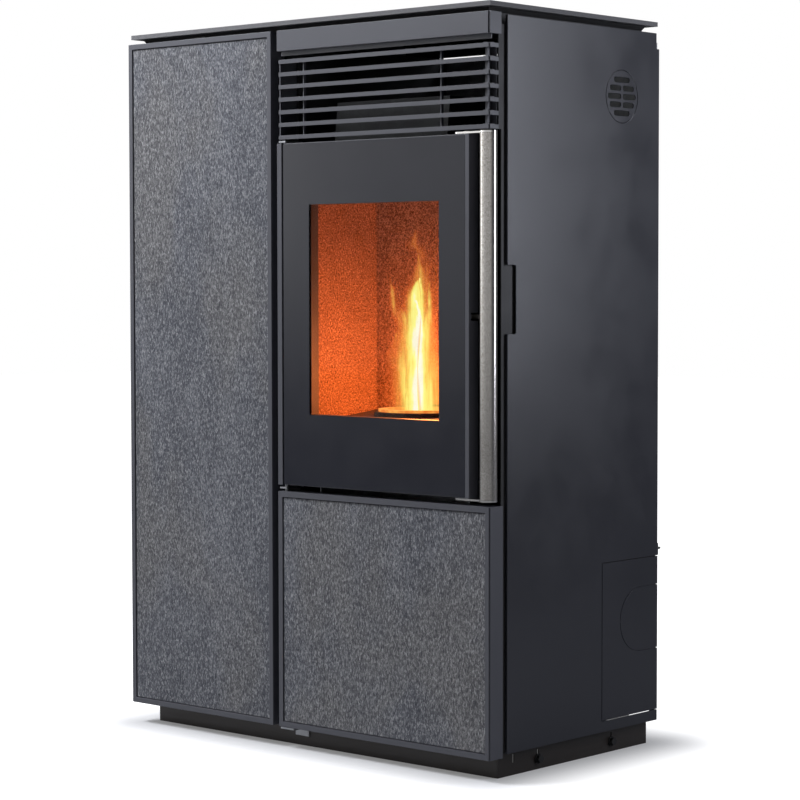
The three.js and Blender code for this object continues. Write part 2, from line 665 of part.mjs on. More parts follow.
// Sheet plinth with keyholes for its levelling screws and tabs under the front panels.
function plinth() {
  const xs = [CASE_LEFT + PLINTH_SIDE_INSET, CASE_RIGHT - PLINTH_SIDE_INSET];
  const depths = [PLINTH_FRONT, BACK_D - SEAT];
  const inside = [xs[0] + SHEET, xs[1] - SHEET];
  const insideDepths = [depths[0] + SHEET, depths[1] - SHEET];
  const opening = [xs[0] + PLINTH_FLANGE, xs[1] - PLINTH_FLANGE];
  const openingDepths = [depths[0] + PLINTH_FLANGE, depths[1] - PLINTH_FLANGE];
  const frame = cut(
    block(xs, depths, [0, PLINTH_HEIGHT]),
    block(inside, insideDepths, [-OVER, PLINTH_HEIGHT - SHEET]),
    block(opening, openingDepths, [0, PLINTH_HEIGHT + OVER]),
  );
  const tabSpans = LEFT_TABS.map(([from, width]) => [LEFT + from, LEFT + from + width]);
  tabSpans.push([RIGHT - RIGHT_TAB[0] - RIGHT_TAB[1], RIGHT - RIGHT_TAB[0]]);
  const tabs = tabSpans.map((span) =>
    block(span, [PLINTH_FRONT - TAB_REACH, PLINTH_FRONT + SHEET], [TAB_HEIGHT, TAB_HEIGHT + SHEET]));
  const across = [xs[0] - OVER, xs[1] + OVER];
  const neckHalf = KEYHOLE_NECK / 2;
  const keyholes = KEYHOLE_DEPTHS.flatMap((d) => [
    rod(d, KEYHOLE_HEIGHT, KEYHOLE_RADIUS, 'x', ...across, 12),
    block(across, [d - neckHalf, d + neckHalf], [KEYHOLE_HEIGHT, KEYHOLE_NECK_TOP]),
  ]);
  const corner = [PLINTH_FRONT - OVER, PLINTH_FRONT + CORNER_SEAM / 2];
  const seam = block([xs[1] - CORNER_SEAM, across[1]], corner, [-OVER, PLINTH_HEIGHT + OVER]);
  const slot = block(
    [inside[1] - OVER, across[1]], [PLINTH_SLOT_D, PLINTH_SLOT_D + PLINTH_SLOT_WIDTH], PLINTH_SLOT);
  add('plinth', 'plinthBlack', cut(join(frame, tabs), keyholes, seam, slot));
}

// Floor of the casing, with air slots under the hopper side.
function basePlate() {
  const depths = [INSIDE_FRONT, BACK_D - SEAT];
  const body = block([CASE_IN_LEFT + SEAT, CASE_IN_RIGHT - SEAT], depths, [BASE_Z, BASE_Z + SHEET]);
  const slots = Array.from({ length: BASE_SLOT_COUNT }, (_, i) => {
    const d = BASE_SLOT_FIRST + i * BASE_SLOT_PITCH;
    return block(
      [CASE_IN_LEFT + BASE_SLOT_LEFT, DIVIDER_X - BASE_SLOT_RIGHT], [d, d + BASE_SLOT_WIDTH],
      [BASE_Z - OVER, BASE_Z + SHEET + OVER]);
  });
  add('base_plate', 'galvanised', cut(body, slots));
}

// Knock-out disc with rows of slots, as outlines in (d, z).
function ventSlots() {
  const rows = [[1, 39], [2, 28], [2, 33], [2, 28], [1, 39]]; // slots in a row, length of each
  const centre = HEIGHT - VENT_DROP;
  const half = VENT_SLOT_HEIGHT / 2;
  return rows.flatMap(([count, length], row) => {
    const z = centre + (2 - row) * VENT_ROW_PITCH;
    const starts = count === 1 ? [-length / 2] : [-length - VENT_BRIDGE / 2, VENT_BRIDGE / 2];
    return starts.map((start) =>
      roundedRectangle([VENT_D + start, VENT_D + start + length], [z - half, z + half], VENT_CORNER));
  });
}

// A side panel from a flat sheet with a folded front hem and rear flange.
// side is 1 on the right and -1 on the left.
function sidePanel(name, side) {
  const face = side > 0 ? CASE_RIGHT : CASE_LEFT;
  const span = (from, to) => (side > 0 ? [face - to, face - from] : [face + from, face + to]);
  const through = span(-OVER, REAR_FLANGE + OVER);
  const inward = (distance) => face - side * distance;
  const body = prism(outline([
    [face, SIDE_FRONT], [inward(SIDE_HEM), SIDE_FRONT], [inward(SIDE_HEM), SIDE_FRONT + SHEET],
    [inward(SHEET), SIDE_FRONT + SHEET], [inward(SHEET), CABINET_DEPTH - SHEET],
    [inward(REAR_FLANGE), CABINET_DEPTH - SHEET], [inward(REAR_FLANGE), CABINET_DEPTH],
    [face, CABINET_DEPTH],
  ]), 'z', BASE_Z, SIDE_TOP);
  const grip = roundedRectangle(
    [SIDE_FRONT - 2 * GRIP_RADIUS, SIDE_FRONT + GRIP_DEPTH], [GRIP_LOW, GRIP_LOW + GRIP_HEIGHT],
    GRIP_RADIUS);
  const notch = block(
    through, [CABINET_DEPTH - TOP_NOTCH_DEPTH, CABINET_DEPTH + OVER],
    [SIDE_TOP - TOP_NOTCH_HEIGHT, SIDE_TOP + OVER]);
  const vents = ventSlots().map((slot) => prism(slot, 'x', ...through, 1));
  const line = pipe(
    VENT_D, HEIGHT - VENT_DROP, VENT_RADIUS, KNOCKOUT_LINE, 'x', ...span(-OVER, KNOCKOUT_DEPTH), 28);
  const tools = [prism(grip, 'x', ...through), notch, ...vents, line];
  if (side > 0) {
    const gap = [COVER_FRONT - COVER_GAP, CABINET_DEPTH + OVER];
    tools.push(block(through, gap, [COVER_BOTTOM - COVER_GAP, COVER_TOP + COVER_GAP]));
  }
  add(name, 'anthracite', cut(body, tools));
}

// Lower rear cover over the flue recess, with a knock-out for a pipe that leaves sideways.
function flueCover() {
  const zs = [COVER_BOTTOM, COVER_TOP];
  const inner = CABINET_DEPTH - SHEET;
  const body = join(
    block([CASE_RIGHT - SHEET, CASE_RIGHT], [COVER_FRONT, CABINET_DEPTH], zs),
    block([CASE_RIGHT - REAR_FLANGE, CASE_RIGHT], [inner, CABINET_DEPTH], zs),
  );
  const lineEnd = inner - KNOCKOUT_EDGE;
  const knockout = (radius, end) => {
    const shape = new THREE.Shape();
    shape.absarc(FLUE_KNOCKOUT_D, FLUE_Z, radius, Math.PI / 2, 1.5 * Math.PI);
    shape.lineTo(end, FLUE_Z - radius);
    shape.lineTo(end, FLUE_Z + radius);
    return shape;
  };
  const span = [CASE_RIGHT - KNOCKOUT_DEPTH, CASE_RIGHT + OVER];
  const wide = [span[0] - OVER, span[1] + OVER];
  const half = KNOCKOUT_BRIDGE / 2;
  const left = FLUE_KNOCKOUT_D - FLUE_KNOCKOUT_RADIUS;
  const bridges = [
    block(wide, [left - OVER, left + 2 * KNOCKOUT_LINE], [FLUE_Z - half, FLUE_Z + half]),
    block(wide, [FLUE_KNOCKOUT_D - half, FLUE_KNOCKOUT_D + half], zs),
  ];
  const line = cut(
    prism(knockout(FLUE_KNOCKOUT_RADIUS, lineEnd), 'x', ...span, 12),
    prism(knockout(FLUE_KNOCKOUT_RADIUS - KNOCKOUT_LINE, lineEnd + OVER), 'x', ...wide, 12),
    bridges,
  );
  const slits = [FLUE_Z - FLUE_KNOCKOUT_RADIUS, FLUE_Z + FLUE_KNOCKOUT_RADIUS - KNOCKOUT_LINE].map((z) =>
    block([CASE_RIGHT - REAR_FLANGE - OVER, CASE_RIGHT + OVER], [inner - SHEET, CABINET_DEPTH + OVER],
      [z, z + KNOCKOUT_LINE]));
  add('flue_cover', 'anthracite', cut(body, line, slits));
}

// Folded pocket in the rear right corner that takes the flue's bend.
function flueRecess() {
  const right = CASE_IN_RIGHT - SEAT;
  const back = CABINET_DEPTH - SHEET - SEAT;
  const outer = block([RECESS_LEFT, right], [RECESS_FRONT, back], [FLOOR_Z, RECESS_TOP]);
  const hollow = block(
    [RECESS_LEFT + SHEET, right + OVER], [RECESS_FRONT + SHEET, back + OVER],
    [FLOOR_Z - OVER, RECESS_TOP - SHEET]);
  const ledge = [right - SHEET, right];
  const frontLedge = block(ledge, [RECESS_FRONT, COVER_FRONT + COVER_LEDGE], [FLOOR_Z, RECESS_TOP]);
  const topLedge = block(ledge, [RECESS_FRONT, back], [COVER_TOP - COVER_LEDGE, RECESS_TOP]);
  const through = [RECESS_FRONT - OVER, RECESS_FRONT + SHEET + OVER];
  const collarHole = rod(FLUE_X, FLUE_Z, FLUE_RADIUS + SEAT, 'y', ...through, 32);
  add('flue_recess', 'blackSheet', cut(join(cut(outer, hollow), frontLedge, topLedge), collarHole));
}

// Rear wall, open round the flue recess and slotted behind the room fan.
function backPanel() {
  const through = [BACK_D - OVER, BACK_D + SHEET + OVER];
  const inlet = inletLimits(0);
  const slots = Array.from({ length: GRILLE_ROWS }, (_, row) => {
    const z = GRILLE_BOTTOM + row * GRILLE_PITCH;
    const xs = [ROOM_FAN_LEFT + GRILLE_INSET, ROOM_FAN_RIGHT - GRILLE_INSET];
    return block(xs, through, [z, z + GRILLE_SLOT]);
  });
  add('back_panel', 'galvanised', cut(
    block([CASE_IN_LEFT + SEAT, CASE_IN_RIGHT - SEAT], [BACK_D, BACK_D + SHEET], [BASE_Z, FRAME_TOP]),
    block([RECESS_LEFT - SEAT, CASE_IN_RIGHT + OVER], through, [BASE_Z - OVER, RECESS_TOP + SEAT]),
    rod(INTAKE_X, INTAKE_Z, INTAKE_RADIUS + SEAT, 'y', ...through, 28),
    block(inlet.xs, through, inlet.zs),
    slots,
  ));
}

// Ends, length and direction of the feed screw's axis.
function augerAxis() {
  const start = new THREE.Vector3(AUGER_X0, deep(AUGER_D), AUGER_Z0);
  const end = new THREE.Vector3(AUGER_X1, deep(AUGER_D), AUGER_Z1);
  return { start, end, length: start.distanceTo(end), along: end.clone().sub(start).normalize() };
}

// A solid drawn along +Z from the origin, laid along the auger at a distance from its lower end.
function alongAuger(body, distance = 0) {
  const { start, along } = augerAxis();
  const turn = new THREE.Quaternion().setFromUnitVectors(new THREE.Vector3(0, 0, 1), along);
  const place = start.clone().addScaledVector(along, distance);
  const matrix = new THREE.Matrix4().compose(place, turn, new THREE.Vector3(1, 1, 1));
  return body.transform(matrix.elements);
}

// A round bar drawn along +Z from the origin.
function bar(radius, from, to, segments = 24) {
  const geometry = new THREE.CylinderGeometry(radius, radius, to - from, segments);
  return solid(geometry.rotateX(Math.PI / 2).translate(0, 0, (from + to) / 2));
}

// Wall between the hopper side and the fire side; its front flange carries hinges and panels.
function centreDivider() {
  const zs = [FLOOR_Z, FRAME_TOP];
  const web = block([DIVIDER_X, DIVIDER_X + SHEET], [INSIDE_FRONT, BACK_D - SEAT], zs);
  const flange = block(
    [DIVIDER_X - DIVIDER_FLANGE, COLUMN_LEFT + DIVIDER_LAP], [INSIDE_FRONT, INSIDE_FRONT + SHEET], zs);
  const passage = alongAuger(bar(AUGER_TUBE_RADIUS + SEAT, 0, augerAxis().length, 28));
  add('centre_divider', 'blackSheet', cut(join(web, flange), passage));
}

// Folded post inside the right front corner; the louvers end on it.
function cornerPost() {
  const inner = POST_OUT - SHEET;
  const front = LOUVER_END + SEAT;
  const body = join(
    block([inner, POST_OUT], [front, POST_BACK], [FLOOR_Z, FRAME_TOP]),
    block([inner - POST_FLANGE, POST_OUT], [POST_BACK - SHEET, POST_BACK], [FLOOR_Z, FRAME_TOP]),
  );
  const doorRoom = block(
    [inner - OVER, POST_OUT + OVER], [front - OVER, LOWER_DOOR_DEPTH + OVER],
    [FLOOR_Z - OVER, LOUVER_BOTTOM]);
  add('corner_post', 'blackSheet', cut(body, doorRoom));
}

// ---------------------------------------------------------------- top

// Black collar under the top plate, wider towards its top, with the catch that holds the tall panel.
function topNeck() {
  const x1 = CASE_RIGHT - TOP_RIGHT_INSET - NECK_INSET;
  const d1 = CABINET_DEPTH - TOP_BACK_INSET - NECK_INSET;
  const row = (inset, z) => rectangle([NECK_X0 + inset, x1 - inset], [NECK_D0 + inset, d1 - inset], z);
  const skin = (inset, z0, z1) => loft([
    row(inset, z0), row(inset, HEADER_TOP + CATCH_GAP), row(inset - NECK_FLARE, z1)]);
  const collar = cut(skin(0, NECK_BOTTOM, NECK_TOP), skin(NECK_WALL, NECK_BOTTOM - OVER, NECK_TOP + OVER));
  const catchXs = [LEFT + CATCH_LEFT, LEFT + CATCH_LEFT + CATCH_WIDTH];
  const catchZ = HEADER_TOP + CATCH_GAP;
  const catchTab = block(catchXs, [NECK_D0 - CATCH_REACH, NECK_D0 + NECK_WALL], [catchZ, catchZ + SHEET]);
  add('top_neck', 'blackSheet', join(collar, catchTab));
}

// Stone-look top with the hopper lid let into it; the lid turns on a rod through both.
function topPlate() {
  const zs = [PLATE_Z, HEIGHT];
  const across = [0, HEIGHT + OVER];
  const body = block(
    [CASE_LEFT, CASE_RIGHT - TOP_RIGHT_INSET], [TOP_FRONT, CABINET_DEPTH - TOP_BACK_INSET], zs);
  const lidHole = block([LID_X0 - LID_GAP, LID_X1 + LID_GAP], [LID_D0 - LID_GAP, LID_D1 + LID_GAP], across);
  const display = displayPlace(SEAT);
  const pocket = block(display.xs, display.depths, [HEIGHT - DISPLAY_THICKNESS - SEAT, HEIGHT + OVER]);
  const bore = lidRod(LID_ROD_RADIUS + RUN, LID_ROD_REACH + RUN);
  add('top_plate', 'topStone', cut(body, lidHole, pocket, bore));

  const middle = (LID_X0 + LID_X1) / 2;
  const notch = block(
    [middle - FINGER_NOTCH_WIDTH / 2, middle + FINGER_NOTCH_WIDTH / 2],
    [LID_D0 - OVER, LID_D0 + FINGER_NOTCH_DEPTH], across);
  add('hopper_lid', 'topStone', cut(block([LID_X0, LID_X1], [LID_D0, LID_D1], zs), notch, bore));
  add('lid_hinge_rod', 'steel', lidRod(LID_ROD_RADIUS, LID_ROD_REACH));

  const sealZ = [HOPPER_TOP + SEAT, PLATE_Z - SEAT];
  add('lid_gasket', 'rope', curb(
    [HOPPER_LEFT, HOPPER_RIGHT], [HOPPER_FRONT, HOPPER_BACK], sealZ, SEAL_WIDTH));
}

// The rod that the hopper lid turns on, to a radius and a reach beyond the lid.
function lidRod(radius, reach) {
  return rod(LID_ROD_D, LID_ROD_Z, radius, 'x', LID_X0 - reach, LID_X1 + reach, 12);
}

// The control display's place in the top, grown by a margin.
function displayPlace(margin) {
  const right = CASE_RIGHT - DISPLAY_SIDE;
  const back = CABINET_DEPTH - DISPLAY_REAR;
  return {
    xs: [right - DISPLAY_WIDTH - margin, right + margin],
    depths: [back - DISPLAY_HEIGHT - margin, back + margin],
  };
}

function controlDisplay() {
  const { xs, depths } = displayPlace(0);
  add('control_display', 'glass', block(xs, depths, [HEIGHT - DISPLAY_THICKNESS, HEIGHT]));
}

// ---------------------------------------------------------------- front panels

// A folded tray that holds a tile: its face frames the tile and its edges fold back.
function tray(xs, zs, depth) {
  const pocketBack = TILE_RECESS + TILE_THICKNESS + SEAT;
  const [x0, x1] = xs;
  const [z0, z1] = zs;
  return cut(
    block(xs, [0, depth], zs),
    block([x0 + DOOR_STRIP, x1 - DOOR_STRIP], [-OVER, pocketBack], [z0 + DOOR_STRIP, z1 - DOOR_STRIP]),
    block([x0 + SHEET, x1 - SHEET], [pocketBack + SHEET, depth + OVER], [z0 + SHEET, z1 - SHEET]),
  );
}

// The tile that lies in such a tray, with a shadow groove round it.
function tile([x0, x1], [z0, z1]) {
  const margin = DOOR_STRIP + TILE_GROOVE;
  const depths = [TILE_RECESS, TILE_RECESS + TILE_THICKNESS];
  return block([x0 + margin, x1 - margin], depths, [z0 + margin, z1 - margin]);
}

// Tall side panel on the hopper side, hung on lugs from the casing and the divider.
function tallPanel() {
  const xs = [LEFT, LEFT + TALL_PANEL_WIDTH];
  const zs = [PANEL_BOTTOM, HEADER_TOP];
  const lugFront = TILE_RECESS + TILE_THICKNESS + SHEET;
  const right = xs[1] - LUG_INSET;
  const lugs = LUG_RISES.flatMap((rise) => {
    const lugZ = [PANEL_BOTTOM + rise, PANEL_BOTTOM + rise + LUG_HEIGHT];
    return [
      block([CASE_LEFT, CASE_LEFT + LUG_WIDTH], [lugFront, SIDE_FRONT - SEAT], lugZ),
      block([right - LUG_WIDTH, right], [lugFront, INSIDE_FRONT - SEAT], lugZ),
    ];
  });
  const neckRoom = block(
    [NECK_X0 - SEAT, xs[1] + OVER], [NECK_D0 - SEAT, PANEL_RETURN + OVER],
    [NECK_BOTTOM - SEAT, zs[1] + OVER]);
  add('tall_panel_frame', 'frameGrey', join(cut(tray(xs, zs, PANEL_RETURN), neckRoom), lugs));
  add('tall_panel_tile', 'tile', tile(xs, zs));
}

// Open seam at the right front corner of a folded front.
function cornerSeam(width, [z0, z1]) {
  return block([RIGHT - width, RIGHT + OVER], [-OVER, CORNER_SEAM], [z0 - OVER, z1 + OVER]);
}

// Band over the louvers, with a set-back lip below it.
function headerBand() {
  const xs = [COLUMN_LEFT, RIGHT];
  const zs = [HEADER_BOTTOM, HEADER_TOP];
  const inner = block(
    [xs[0] + SHEET, xs[1] - SHEET], [SHEET, HEADER_RETURN + OVER], [zs[0] + SHEET, zs[1] - SHEET]);
  const neckRoom = block(
    [xs[0] - OVER, xs[1] - SHEET], [NECK_D0 - SEAT, HEADER_RETURN + OVER],
    [NECK_BOTTOM - SEAT, zs[1] + OVER]);
  const postRoom = block([xs[0] - OVER, xs[1] - SHEET], [LOUVER_END, HEADER_RETURN + OVER], zs);
  const lip = block(
    [xs[0] + SHEET, RIGHT - LOUVER_INSET], [HEADER_LIP_D, HEADER_LIP_D + SHEET],
    [zs[0] - HEADER_LIP + SHEET, zs[0] + SHEET]);
  const body = join(cut(block(xs, [0, HEADER_RETURN], zs), inner, neckRoom, postRoom), lip);
  add('header_band', 'frameGrey', cut(body, cornerSeam(2 * CORNER_SEAM, zs)));
}

// Seven blades that run along the front and turn the right-hand corner, on two slim spacers.
function louverGrille() {
  const front = LOUVER_INSET;
  const back = front + LOUVER_CHORD;
  const right = RIGHT - LOUVER_INSET;
  const sideIn = right - LOUVER_CHORD;
  const bladeSection = (near, far) => outline([
    [near, 0], [far, LOUVER_RISE], [far, LOUVER_RISE + LOUVER_FACE / 2], [near, LOUVER_FACE]]);
  const blades = [];
  for (let i = 0; i < LOUVER_COUNT; i += 1) {
    const z = LOUVER_TOP - LOUVER_FACE - i * LOUVER_PITCH;
    const along = prism(bladeSection(front, back), 'x', COLUMN_LEFT, right).translate(0, 0, z);
    const returnSection = outline([
      [sideIn, z + LOUVER_RISE], [right, z], [right, z + LOUVER_FACE],
      [sideIn, z + LOUVER_RISE + LOUVER_FACE / 2]]);
    const around = prism(returnSection, 'y', front, LOUVER_END);
    const seam = block(
      [right - CORNER_SEAM, right + OVER], [front - OVER, front + CORNER_SEAM],
      [z - OVER, z + LOUVER_FACE + OVER]);
    blades.push(cut(join(along, around), seam));
  }
  const zs = [LOUVER_BOTTOM, LOUVER_TOP];
  const spacers = SPACER_POSITIONS.map((share) => {
    const x = COLUMN_LEFT + share * COLUMN_WIDTH;
    return block([x, x + SPACER_WIDTH], [back - SPACER_DEPTH, back], zs);
  });
  const endPlate = block([COLUMN_LEFT, COLUMN_LEFT + SHEET], [front + SHEET, INSIDE_FRONT - SEAT], zs);
  const postLeft = sideIn - GRILLE_POST;
  const postPlate = block([postLeft, sideIn + SHEET / 2], [back - GRILLE_POST, LOUVER_END], zs);
  const foot = block([postLeft, POST_OUT - SHEET - SEAT], [LOUVER_END - SHEET, LOUVER_END], zs);
  add('louver_grille', 'frameGrey', join(blades, spacers, endPlate, postPlate, foot));
}

// ---------------------------------------------------------------- hinges

// A folded hinge plate at a height, with pins above and below it.
// flange is the height of its upright, below the plate if negative, and flangeD the upright's rear face.
function hingeBracket(name, z, { width = BRACKET_WIDTH, pinUp = 0, pinDown = 0, flange, flangeD }) {
  const xs = [COLUMN_LEFT, COLUMN_LEFT + width];
  const plateTop = z + BRACKET_THICKNESS;
  const upright = flange > 0 ? [z, z + flange] : [z + flange, plateTop];
  add(name, 'galvanised', join(
    block(xs, [BRACKET_FRONT, flangeD], [z, plateTop]),
    block(xs, [flangeD - SHEET, flangeD], upright),
    rod(HINGE_X, HINGE_DEPTH, HINGE_PIN_RADIUS, 'z', z - pinDown, plateTop + pinUp, 16),
  ));
}

// Brackets under the lower door, between the doors and over the fire door.
function hingeBrackets() {
  const onDivider = INSIDE_FRONT - SEAT;
  hingeBracket('hinge_bracket_lower', TAB_HEIGHT, {
    width: LOWER_BRACKET_WIDTH, pinUp: LOWER_PIN_LENGTH,
    flange: -LOWER_BRACKET_FLANGE, flangeD: PLINTH_FRONT - SEAT,
  });
  hingeBracket('hinge_bracket_middle', MIDDLE_Z, {
    pinUp: HINGE_PIN_LENGTH, pinDown: HINGE_PIN_LENGTH, flange: BRACKET_FLANGE, flangeD: onDivider,
  });
  hingeBracket('hinge_bracket_upper', FIRE_DOOR_TOP + BRACKET_ABOVE, {
    pinDown: HINGE_PIN_LENGTH, flange: -BRACKET_FLANGE, flangeD: onDivider,
  });
}

// A hole for a hinge pin, with running clearance.
function hingeHole(z0, z1) {
  return rod(HINGE_X, HINGE_DEPTH, HINGE_PIN_RADIUS + RUN, 'z', z0, z1, 16);
}

// ---------------------------------------------------------------- lower door

// Lower door: a tray with hinge blocks at both ends of its left side.
function lowerDoor() {
  const xs = [COLUMN_LEFT, RIGHT];
  const zs = [PANEL_BOTTOM, LOWER_DOOR_TOP];
  const stiffenerXs = [xs[0] + SHEET / 2, xs[0] + SHEET / 2 + STIFFENER_WIDTH];
  const stiffenerDepths = [TILE_RECESS + TILE_THICKNESS + SHEET / 2, STIFFENER_BACK];
  const inset = STIFFENER_INSET + STIFFENER_HEIGHT;
  const stiffeners = [
    block(stiffenerXs, stiffenerDepths, [zs[0] + STIFFENER_INSET, zs[0] + inset]),
    block(stiffenerXs, stiffenerDepths, [zs[1] - inset, zs[1] - STIFFENER_INSET]),
  ];
  const holeDepth = HINGE_PIN_LENGTH + HINGE_HOLE_ROOM;
  const body = cut(
    join(tray(xs, zs, LOWER_DOOR_DEPTH), stiffeners),
    cornerSeam(CORNER_SEAM, zs),
    hingeHole(zs[0] - OVER, zs[0] + holeDepth),
    hingeHole(zs[1] - holeDepth, zs[1] + OVER),
  );
  add('lower_door_frame', 'frameGrey', body);
  add('lower_door_tile', 'tile', tile(xs, zs));
}

// ---------------------------------------------------------------- fire door

// Cast fire door with a full glass front, a rim round the window and a ridge that presses the rope.
function fireDoor() {
  const xs = [COLUMN_LEFT, FIRE_DOOR_RIGHT];
  const zs = [FIRE_DOOR_BOTTOM, FIRE_DOOR_TOP];
  const behindGlass = GLASS_THICKNESS + SEAT;
  const depths = [behindGlass, FIRE_DOOR_DEPTH];
  const window = [[WINDOW_X0, WINDOW_X1], [WINDOW_Z0, WINDOW_Z1]];
  const rimmed = [[WINDOW_X0 - CASTING, WINDOW_X1 + CASTING], [WINDOW_Z0 - CASTING, WINDOW_Z1 + CASTING]];
  const gasket = gasketLimits();
  const hollow = block(
    [xs[0] + 2 * HINGE_INSET, xs[1] - CASTING], [behindGlass + CASTING, FIRE_DOOR_DEPTH + OVER],
    [zs[0] + CASTING, zs[1] - CASTING]);
  const gasketRidge = ring(gasket.xs, [behindGlass, FIRE_DOOR_DEPTH], gasket.zs, GASKET_WIDTH);
  const windowRim = block(rimmed[0], depths, rimmed[1]);
  const leftFace = block([xs[0], xs[0] + GLASS_LEFT_STRIP], [0, FIRE_DOOR_DEPTH], zs);
  const rightFace = block([xs[1] - GLASS_RIGHT_STRIP, xs[1]], [0, behindGlass + CASTING], zs);
  const camSlot = block(
    [PIVOT_X, xs[1] + OVER], [behindGlass + SEAT, FIRE_DOOR_DEPTH + OVER], camLimits(CAM_ROOM));
  const body = cut(
    join(cut(block(xs, depths, zs), hollow), gasketRidge, windowRim, leftFace, rightFace),
    block(window[0], [0, FIRE_DOOR_DEPTH + OVER], window[1]),
    hingeHole(zs[0] - OVER, zs[0] + HINGE_PIN_LENGTH),
    hingeHole(zs[1] - HINGE_PIN_LENGTH, zs[1] + OVER),
    rod(PIVOT_X, PIVOT_DEPTH, SHAFT_RADIUS + RUN, 'z', zs[0] - OVER, zs[1] + OVER, 16),
    camSlot,
  );
  add('fire_door_frame', 'frameGrey', body);
  const glassXs = [xs[0] + GLASS_LEFT_STRIP + GLASS_LEFT_GAP, xs[1] - GLASS_RIGHT_STRIP - SEAT];
  const glassZ = [zs[0] + GLASS_MARGIN, zs[1] - GLASS_MARGIN];
  add('fire_door_glass', 'glass', block(glassXs, [0, GLASS_THICKNESS], glassZ));
  const ropeDepths = [FIRE_DOOR_DEPTH + SEAT, FIRE_FRONT - SEAT];
  add('door_gasket', 'rope', ring(gasket.xs, ropeDepths, gasket.zs, GASKET_WIDTH));
}

// Outline of the door rope round the firebox's mouth.
function gasketLimits() {
  const beyond = GASKET_WIDTH + GASKET_MARGIN;
  return { xs: fireSpan(FIRE_HALF + GASKET_WIDTH + SEAT), zs: [MOUTH_BOTTOM - beyond, MOUTH_TOP + beyond] };
}

// ---------------------------------------------------------------- handle

// Heights of the latch cam at the middle of the fire door, grown by a margin.
function camLimits(margin) {
  const middle = (FIRE_DOOR_BOTTOM + FIRE_DOOR_TOP) / 2;
  return [middle - CAM_THICKNESS / 2 - margin, middle + CAM_THICKNESS / 2 + margin];
}

// Tube handle on two arms; the shaft between them carries the cam that hooks behind the keeper.
function handle() {
  const armZ = {
    lower: FIRE_DOOR_BOTTOM - ARM_GAP - ARM_THICKNESS,
    upper: FIRE_DOOR_TOP + ARM_GAP,
  };
  const tubeZ = [armZ.lower + ARM_THICKNESS + SEAT, armZ.upper - SEAT];
  add('handle_tube', 'steel', pipe(TUBE_X, TUBE_RADIUS + SEAT, TUBE_RADIUS, TUBE_WALL, 'z', ...tubeZ, 40));
  const armXs = [PIVOT_X - ARM_TAIL, TUBE_X];
  const armDepths = [PIVOT_DEPTH - ARM_WIDTH / 2, PIVOT_DEPTH + ARM_WIDTH / 2];
  for (const [place, z] of Object.entries(armZ)) {
    const top = z + ARM_THICKNESS;
    const arm = join(
      rod(TUBE_X, TUBE_RADIUS + SEAT, TUBE_RADIUS, 'z', z, top, 32),
      prism(roundedRectangle(armXs, armDepths, ARM_CORNER), 'z', z, top, 5),
    );
    const shaftHole = rod(PIVOT_X, PIVOT_DEPTH, SHAFT_RADIUS + RUN, 'z', z - OVER, top + OVER, 16);
    add(`handle_arm_${place}`, 'polished', cut(arm, shaftHole));
  }
  const [camZ0, camZ1] = camLimits(0);
  const shaftZ = [armZ.lower - SHAFT_REACH, armZ.upper + ARM_THICKNESS + SHAFT_REACH];
  const shaft = rod(PIVOT_X, PIVOT_DEPTH, SHAFT_RADIUS, 'z', ...shaftZ, 16);
  const hub = rod(PIVOT_X, PIVOT_DEPTH, SHAFT_RADIUS + CAM_HUB, 'z', camZ0, camZ1, 20);
  const tip = FIRE_FRONT + CAM_TIP_BEHIND;
  const tipX = PIVOT_X + CAM_REACH;
  const armBack = PIVOT_DEPTH + CAM_ARM;
  const hook = outline([
    [PIVOT_X, PIVOT_DEPTH], [tipX, PIVOT_DEPTH], [tipX, tip], [tipX - CAM_WIDTH, tip],
    [tipX - CAM_WIDTH, armBack], [PIVOT_X, armBack],
  ]);
  add('latch_shaft', 'steel', join(shaft, hub, prism(hook, 'z', camZ0, camZ1)));
  const keeperXs = [FIRE_X + SHELL_HALF + SEAT, tipX + KEEPER_LAP];
  const keeperFront = tip + SEAT;
  const keeperZ = camLimits(KEEPER_MARGIN);
  add('latch_keeper', 'galvanised', join(
    block(keeperXs, [keeperFront, keeperFront + KEEPER_THICKNESS], keeperZ),
    block(
      [keeperXs[0], keeperXs[0] + KEEPER_THICKNESS], [keeperFront, keeperFront + KEEPER_DEPTH], keeperZ),
  ));
}

// ---------------------------------------------------------------- firebox

const igniterHole = (radius, from, to) => rod(FIRE_X, IGNITER_Z, radius, 'y', from, to, 16);
const chuteHole = (from, to) =>
  block(fireSpan(CHUTE_WIDTH / 2), [from, to], [CHUTE_BOTTOM, CHUTE_BOTTOM + CHUTE_HEIGHT]);

